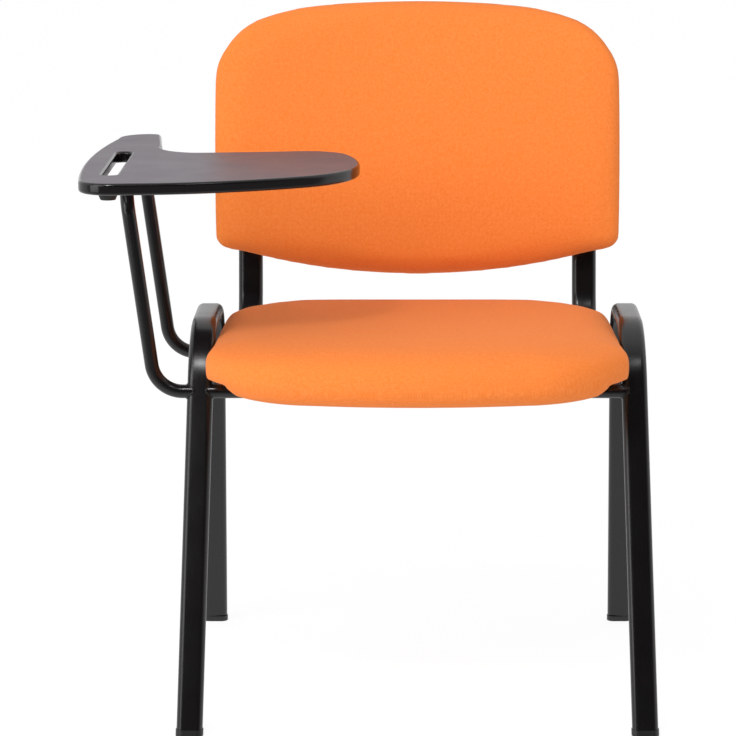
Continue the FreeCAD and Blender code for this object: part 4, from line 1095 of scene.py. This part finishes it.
    def round_corners(self, pad: bpy.types.Object) -> None:
        """Lets the far corners of the outline sag, as a taut cover does over soft foam.

        Args:
            pad: The drawn-in cushion.
        """
        places, _ = self.read(pad)
        away = places @ np.array(self.along)
        aside = np.abs(places @ np.array(self.across))
        start, width, depth = (value * MM for value in self.sag_zone)
        outward = np.clip((aside - start) / width, 0.0, self.sag_limit)
        upward = np.clip(1.0 - (away.max() - away) / depth, 0.0, 1.0)
        sag = self.sag * MM * outward**2 * upward**2 * (3.0 - 2.0 * upward)
        self.place(pad, places - np.outer(sag, self.along))

    def keep_clear(self, pad: bpy.types.Object) -> None:
        """Flattens the cushion's sides softly where the hoops' inner faces stand beside it.

        Args:
            pad: The swollen cushion.
        """
        places, _ = self.read(pad)
        hoops = SideHoops()
        slope = math.tan(math.radians(hoops.splay))
        inner = (hoops.foot_reach - hoops.wide / 2 - self.room) * MM - places[:, 2] * slope
        beyond = np.abs(places[:, 1]) - hoops.leg_y(hoops.top - hoops.bend) * MM
        limit = inner + self.bend_flare * np.maximum(0.0, beyond)
        soft = self.give * MM
        over = np.abs(places[:, 0]) - (limit - soft)
        eased = limit - soft + soft * np.tanh(np.maximum(over, 0.0) / soft)
        places[:, 0] = np.where(over > 0.0, np.sign(places[:, 0]) * eased, places[:, 0])
        self.place(pad, places)

    def swell(self, pad: bpy.types.Object, held: np.ndarray) -> None:
        """Blows the cloth up against its own tension, and keeps that shape within the cap.

        Args:
            pad: The drawn-in cushion.
            held: For each point, whether it stays where it is.
        """
        scene = bpy.context.scene
        start, _ = self.read(pad)
        group = pad.vertex_groups.new(name="held")
        group.add([int(i) for i in np.flatnonzero(held)], 1.0, "REPLACE")
        cloth = pad.modifiers.new("cloth", "CLOTH")
        cloth.settings.use_pressure = True
        cloth.settings.uniform_pressure_force = self.pressure
        cloth.settings.vertex_group_mass = "held"
        cloth.settings.effector_weights.gravity = 0.0
        cloth.settings.quality = self.cloth_steps
        cloth.point_cache.frame_start = 1
        cloth.point_cache.frame_end = self.frames
        for frame in range(1, self.frames + 1):
            scene.frame_set(frame)
        settle(pad)
        scene.frame_set(1)
        end, _ = self.read(pad)
        move = end - start
        length = np.linalg.norm(move, axis=1)
        limit = self.cap * MM
        log.info("%s swells %.1f mm at most", self.name, length.max() / MM)
        move *= (limit / np.maximum(length, limit))[:, None]
        self.place(pad, start + self.even_out(pad.data, move, self.swell_rounds))
        pad.vertex_groups.clear()

    def map_weave(self, pad: bpy.types.Object) -> None:
        """Lays the cloth's threads over the cushion as one unrolled sheet, in metres.

        Args:
            pad: The finished cushion.
        """
        places, normals = self.read(pad)
        down, across, along = (np.array(v) for v in (self.support, self.across, self.along))
        depth = places @ down
        drop = depth - depth.min()
        u = places @ across + (normals @ across) * drop
        v = places @ along + (normals @ along) * drop
        corners = np.empty(len(pad.data.loops), np.int32)
        pad.data.loops.foreach_get("vertex_index", corners)
        layer = pad.data.uv_layers.new(name="weave")
        layer.data.foreach_set("uv", np.stack([u[corners], v[corners]], 1).ravel().astype(np.float32))


@dataclass
class Seat:
    """The upholstered seat with its board and fasteners."""

    fill: float = 0.7
    shoulder: float = 11.0
    cap: float = 1.5
    room: float = 0.3

    def build(self, shop: Workshop) -> None:
        """Makes the seat cushion and finishes what carries it.

        Args:
            shop: The frame, the finishes and the tools.
        """
        Cushion(
            node="seat_pad",
            name="seat_cushion",
            support=(0, 0, -1),
            across=(1, 0, 0),
            along=(0, 1, 0),
            fill=self.fill,
            draw_in=0.0,
            cap=self.cap,
            shoulder=self.shoulder,
            room=self.room,
        ).build(shop)
        shop.keep_nodes(Finish.PLYWOOD, "seat_board")
        shop.keep_nodes(Finish.ZINC, "seat_bolts", "seat_rear_bolts", "seat_tee_nuts")
        shop.keep_nodes(Finish.FOOT, "seat_spacers")


@dataclass
class Back:
    """The upholstered back with its board, its moulded shell and its fasteners."""

    lean: float = 10.0
    fill: float = 0.65
    sag: float = 9.5

    def build(self, shop: Workshop) -> None:
        """Makes the back cushion and finishes what carries it.

        Args:
            shop: The frame, the finishes and the tools.
        """
        c, s = math.cos(math.radians(self.lean)), math.sin(math.radians(self.lean))
        Cushion(
            node="back_pad",
            name="back_cushion",
            support=(0, c, -s),
            across=(1, 0, 0),
            along=(0, s, c),
            fill=self.fill,
            sag=self.sag,
        ).build(shop)
        shop.keep_nodes(Finish.PLYWOOD, "back_board")
        shop.keep_nodes(Finish.SHELL, "back_shell")
        shop.keep_nodes(Finish.ZINC, "back_bolts", "back_tee_nuts")


@dataclass
class TabletArm:
    """The bent round tube that carries the tablet, welded to the legs of the left hoop."""

    root: float = 257.0
    foot: float = 302.3
    top_run: float = 333.3
    reach: float = 118.155
    low: float = 375.0
    high: float = 610.9
    low_bend: float = 36.0
    top_bend: float = 30.0
    diameter: float = 16.0

    def build(self, shop: Workshop) -> None:
        """Makes the arm and finishes what is fixed to it.

        Args:
            shop: The frame, the finishes and the tools.
        """
        corners = [
            (-self.root, -self.reach, self.low),
            (-self.foot, -self.reach, self.low),
            (-self.top_run, -self.reach, self.high),
            (-self.top_run, self.reach, self.high),
            (-self.foot, self.reach, self.low),
            (-self.root, self.reach, self.low),
        ]
        bends = [0.0, self.low_bend, self.top_bend, self.top_bend, self.low_bend, 0.0]
        section = (self.diameter, self.diameter)
        shop.bend_tube("bent_tablet_arm", corners, bends, section, "arm_tube")
        shop.keep_nodes(Finish.ENAMEL, "stop_plate")
        shop.keep_nodes(Finish.RUBBER, "stop_buffers")


class Step(Enum):
    """How a board's outline goes on to its next corner."""

    LINE = "line"
    ARC = "arc"


@dataclass
class WritingTablet:
    """The gloss writing board with its grip slot, on its hinge leaves."""

    outer: float = 383.5
    front: float = 249.0
    under: float = 621.45
    thick: float = 13.5
    edge_radius: float = 3.6
    edge_steps: int = 4
    flat_weight: int = 100
    sample: float = 3.0
    slot_sample: float = 1.6
    fewest_samples: int = 4
    soften_rounds: int = 3
    slot_x: float = 346.0
    slot_front: float = 178.0
    slot_length: float = 203.0
    slot_width: float = 17.0
    start: tuple[float, float] = (7.5, 30.0)

    def outline(self) -> list[tuple[float, float]]:
        """Samples the board's outline.

        Returns:
            Points in millimetres, from the outer front corner of the board's box.
        """
        steps = [
            (Step.ARC, (0.0, 164.0), (17.5, 400.0)),
            (Step.ARC, (26.5, 431.0), (47.5, 444.0)),
            (Step.LINE, None, (57.5, 444.0)),
            (Step.ARC, (65.0, 441.0), (68.0, 434.0)),
            (Step.LINE, None, (77.5, 329.0)),
            (Step.ARC, (89.5, 285.0), (121.5, 266.0)),
            (Step.ARC, (193.4, 273.1), (243.5, 280.6)),
            (Step.ARC, (275.0, 277.1), (299.4, 257.1)),
            (Step.ARC, (312.7, 212.7), (317.5, 159.0)),
            (Step.ARC, (298.8, 99.0), (252.4, 56.8)),
            (Step.ARC, (180.0, 24.4), (103.5, 4.9)),
            (Step.LINE, None, (48.5, 0.0)),
            (Step.ARC, (18.5, 9.0), self.start),
        ]
        points = [self.start]
        for kind, through, there in steps:
            if kind is Step.LINE:
                points += self.line(points[-1], there)
            else:
                points += self.arc(points[-1], through, there, self.sample)
        ring = np.array(points[:-1])
        for _ in range(self.soften_rounds):
            ring = 0.25 * np.roll(ring, 1, 0) + 0.5 * ring + 0.25 * np.roll(ring, -1, 0)
        return [tuple(float(v) for v in point) for point in ring]

    def line(self, a: tuple, b: tuple) -> list[tuple[float, float]]:
        """Samples the straight line from a to b.

        Args:
            a: Its start.
            b: Its end.

        Returns:
            The samples after its start.
        """
        count = max(1, round(math.dist(a, b) / self.sample))
        return [
            (a[0] + (b[0] - a[0]) * k / count, a[1] + (b[1] - a[1]) * k / count)
            for k in range(1, count + 1)
        ]

    def arc(self, a: tuple, b: tuple, c: tuple, step: float) -> list[tuple[float, float]]:
        """Samples the arc from a through b to c.

        Args:
            a: Its start.
            b: A point on it.
            c: Its end.
            step: The distance between samples in millimetres.

        Returns:
            The samples after its start.
        """
        (ax, ay), (bx, by), (cx, cy) = a, b, c
        d = 2 * (ax * (by - cy) + bx * (cy - ay) + cx * (ay - by))
        aa, bb, cc = ax * ax + ay * ay, bx * bx + by * by, cx * cx + cy * cy
        ux = (aa * (by - cy) + bb * (cy - ay) + cc * (ay - by)) / d
        uy = (aa * (cx - bx) + bb * (ax - cx) + cc * (bx - ax)) / d
        radius = math.hypot(ax - ux, ay - uy)
        first = math.atan2(ay - uy, ax - ux)
        last = math.atan2(cy - uy, cx - ux)
        turn = (last - first) % math.tau
        if (math.atan2(by - uy, bx - ux) - first) % math.tau > turn:
            turn -= math.tau
        count = max(self.fewest_samples, round(abs(turn) * radius / step))
        angles = [first + turn * k / count for k in range(1, count + 1)]
        return [(ux + radius * math.cos(t), uy + radius * math.sin(t)) for t in angles]

    def slot(self) -> list[tuple[float, float]]:
        """Samples the grip slot.

        Returns:
            Points in millimetres, from the same corner as the outline.
        """
        x, y, r = self.outer - self.slot_x, self.front - self.slot_front, self.slot_width / 2
        far = y + self.slot_length
        front = self.arc((x - r, y + r), (x, y), (x + r, y + r), self.slot_sample)
        rear = self.arc((x + r, far - r), (x, far), (x - r, far - r), self.slot_sample)
        return [(x - r, y + r), *front, (x + r, far - r), *rear]

    def build(self, shop: Workshop) -> None:
        """Makes the board and finishes what is fixed to it.

        Args:
            shop: The frame, the finishes and the tools.
        """
        curve = bpy.data.curves.new("pressed_tablet", "CURVE")
        curve.dimensions = "2D"
        curve.fill_mode = "BOTH"
        curve.extrude = (self.thick / 2 - self.edge_radius) * MM
        curve.bevel_depth = self.edge_radius * MM
        curve.bevel_resolution = self.edge_steps
        curve.offset = -self.edge_radius * MM
        for line in (self.outline(), self.slot()):
            spline = curve.splines.new("POLY")
            spline.points.add(len(line) - 1)
            for point, (x, y) in zip(spline.points, line):
                point.co = ((x - self.outer) * MM, (y - self.front) * MM, 0.0, 1.0)
            spline.use_cyclic_u = True
        board = settle(new_piece("pressed_tablet", curve))
        board.data.transform(Matrix.Translation((0, 0, (self.under + self.thick / 2) * MM)))
        board.data.shade_smooth()
        even = board.modifiers.new("flat_faces_first", "WEIGHTED_NORMAL")
        even.weight = self.flat_weight
        settle(board)
        shop.fit(board, "tablet", Finish.TABLET, "tablet_board")
        shop.keep_nodes(Finish.ENAMEL, "hinge_leaf_front", "hinge_leaf_rear")
        shop.keep_nodes(Finish.ZINC, "leaf_screws")
        shop.keep_nodes(Finish.RUBBER, "tablet_bumper")


@dataclass(frozen=True)
class SoftLamp:
    """A square soft lamp that faces the chair. Its place, aim and width are in metres."""

    name: str
    place: tuple[float, float, float]
    width: float
    watts: float
    aim: tuple[float, float, float] = (0.0, 0.0, 0.45)

    def hang(self) -> None:
        """Hangs the lamp."""
        data = bpy.data.lights.new(self.name, "AREA")
        data.size = self.width
        data.energy = self.watts
        lamp = bpy.data.objects.new(self.name, data)
        lamp.location = self.place
        way = Vector(self.aim) - Vector(self.place)
        lamp.rotation_euler = way.to_track_quat("-Z", "Y").to_euler()
        bpy.context.scene.collection.objects.link(lamp)


@dataclass
class Studio:
    """A pale floor, soft lamps, a white surround and the camera.

    In reflections the surround goes from dark behind the camera to white over the dark zone, a range
    of Y of the looking direction, and the floor from dim to full over the mirror zone.
    """

    distance: float = 3693.0
    height: float = 1120.0
    pitch: float = 11.35
    sensor: float = 36.0
    lens: float = 154.66
    shift: float = -0.0671
    front_light: float = 0.96
    rear_light: float = 0.5
    behind_camera: float = 0.015
    dark_zone: tuple[float, float] = (-0.75, 0.1)
    floor_colour: str = "#F8F8F8"
    floor_share: float = 0.85
    floor_reach: float = 40000.0
    floor_drop: float = 0.4
    floor_level: float = 1.05
    mirror_zone: tuple[float, float] = (-1300.0, -350.0)
    mirror_level: float = 0.12
    lamps: tuple[SoftLamp, ...] = (
        SoftLamp("key_lamp", (-1.35, -1.35, 1.7), 1.2, 12.0),
        SoftLamp("low_lamp", (-1.7, -1.2, 0.8), 1.0, 8.0),
        SoftLamp("left_softbox", (-0.6, -1.95, 2.75), 0.45, 20.0),
        SoftLamp("right_softbox", (0.75, -1.9, 2.8), 0.5, 4.0),
    )

    def build(self) -> None:
        """Makes the studio."""
        view = bpy.context.scene.view_settings
        view.view_transform = "Standard"
        self.camera()
        self.floor()
        self.surround()
        for lamp in self.lamps:
            lamp.hang()

    def camera(self) -> None:
        """Places the camera as the photograph's was."""
        data = bpy.data.cameras.new("camera")
        data.lens = self.lens
        data.sensor_width = self.sensor
        data.shift_x = self.shift
        camera = bpy.data.objects.new("camera", data)
        camera.location = (0.0, -self.distance * MM, self.height * MM)
        camera.rotation_euler = (math.radians(90 - self.pitch), 0.0, 0.0)
        bpy.context.scene.collection.objects.link(camera)
        bpy.context.scene.camera = camera

    def seen(self, tree: bpy.types.NodeTree) -> bpy.types.Node:
        """Tells rays from the camera, or by way of gloss or glass, from light itself.

        Args:
            tree: The floor's or the surround's tree.

        Returns:
            The node whose first output is 1 for those rays and 0 for light.
        """
        rays = add_node(tree, "ShaderNodeLightPath").outputs
        mirrored = {0: rays["Is Glossy Ray"], 1: rays["Is Transmission Ray"]}
        gloss = add_node(tree, "ShaderNodeMath", mirrored, operation="MAXIMUM")
        either = {0: gloss, 1: rays["Is Camera Ray"]}
        return add_node(tree, "ShaderNodeMath", either, operation="MAXIMUM")

    def floor(self) -> None:
        """Makes the white floor: it keeps a pale shadow, and is dimmer in reflections of its front."""
        mesh = bpy.data.meshes.new("floor")
        s, z = self.floor_reach * MM, -self.floor_drop * MM
        mesh.from_pydata([(-s, -s, z), (s, -s, z), (s, s, z), (-s, s, z)], [], [(0, 1, 2, 3)])
        floor = new_piece("floor", mesh)
        material, tree = start_material("white_floor")
        paint = add_node(tree, "ShaderNodeBsdfDiffuse", {"Color": linear(self.floor_colour)})
        place = add_node(tree, "ShaderNodeTexCoord").outputs["Object"]
        ahead = add_node(tree, "ShaderNodeSeparateXYZ", {"Vector": place}).outputs["Y"]
        near, far = (value * MM for value in self.mirror_zone)
        fade = {"Value": ahead, "From Min": near, "From Max": far, "To Min": self.mirror_level}
        mirrored = add_node(tree, "ShaderNodeMapRange", fade)
        straight = add_node(tree, "ShaderNodeLightPath").outputs["Is Camera Ray"]
        choice = {"Factor": straight, 2: mirrored, 3: self.floor_level}
        level = add_node(tree, "ShaderNodeMix", choice, data_type="FLOAT")
        glow = add_node(tree, "ShaderNodeEmission", {"Strength": level})
        shares = {0: self.seen(tree), 1: self.floor_share}
        share = add_node(tree, "ShaderNodeMath", shares, operation="MULTIPLY")
        mixed = add_node(tree, "ShaderNodeMixShader", {0: share, 1: paint, 2: glow})
        add_node(tree, "ShaderNodeOutputMaterial", {"Surface": mixed})
        mesh.materials.append(material)

    def surround(self) -> None:
        """Makes the world: white where it is seen, dark behind the camera, and lit mostly from ahead."""
        world = bpy.data.worlds.new("white_surround")
        bpy.context.scene.world = world
        tree = empty_tree(world)
        way = add_node(tree, "ShaderNodeTexCoord").outputs["Generated"]
        ahead = add_node(tree, "ShaderNodeSeparateXYZ", {"Vector": way}).outputs["Y"]
        near, far = self.dark_zone
        fade = {"Value": ahead, "From Min": near, "From Max": far, "To Min": self.behind_camera}
        sweep = add_node(tree, "ShaderNodeMapRange", fade, interpolation_type="SMOOTHSTEP")
        light = {"Value": ahead, "From Min": -1.0, "To Min": self.front_light, "To Max": self.rear_light}
        dome = add_node(tree, "ShaderNodeMapRange", light)
        mirrored = {"Factor": self.seen(tree), 2: dome, 3: sweep}
        gloss = add_node(tree, "ShaderNodeMix", mirrored, data_type="FLOAT")
        straight = add_node(tree, "ShaderNodeLightPath").outputs["Is Camera Ray"]
        level = add_node(tree, "ShaderNodeMix", {"Factor": straight, 2: gloss, 3: 1.0}, data_type="FLOAT")
        glow = {"Color": linear("#FFFFFF"), "Strength": level}
        sky = add_node(tree, "ShaderNodeBackground", glow)
        add_node(tree, "ShaderNodeOutputWorld", {"Surface": sky})


def main() -> None:
    """Builds the chair and its studio."""
    logging.basicConfig(level=logging.INFO, format="%(message)s")
    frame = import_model()
    Studio().build()
    shop = Workshop(frame["nodes"], Finishes(), TubeBender(), Welder())
    hoops = SideHoops()
    hoops.build(shop)
    UnderFrame(hoops).build(shop)
    Seat().build(shop)
    Back().build(shop)
    TabletArm().build(shop)
    WritingTablet().build(shop)


if __name__ == "__main__":
    main()
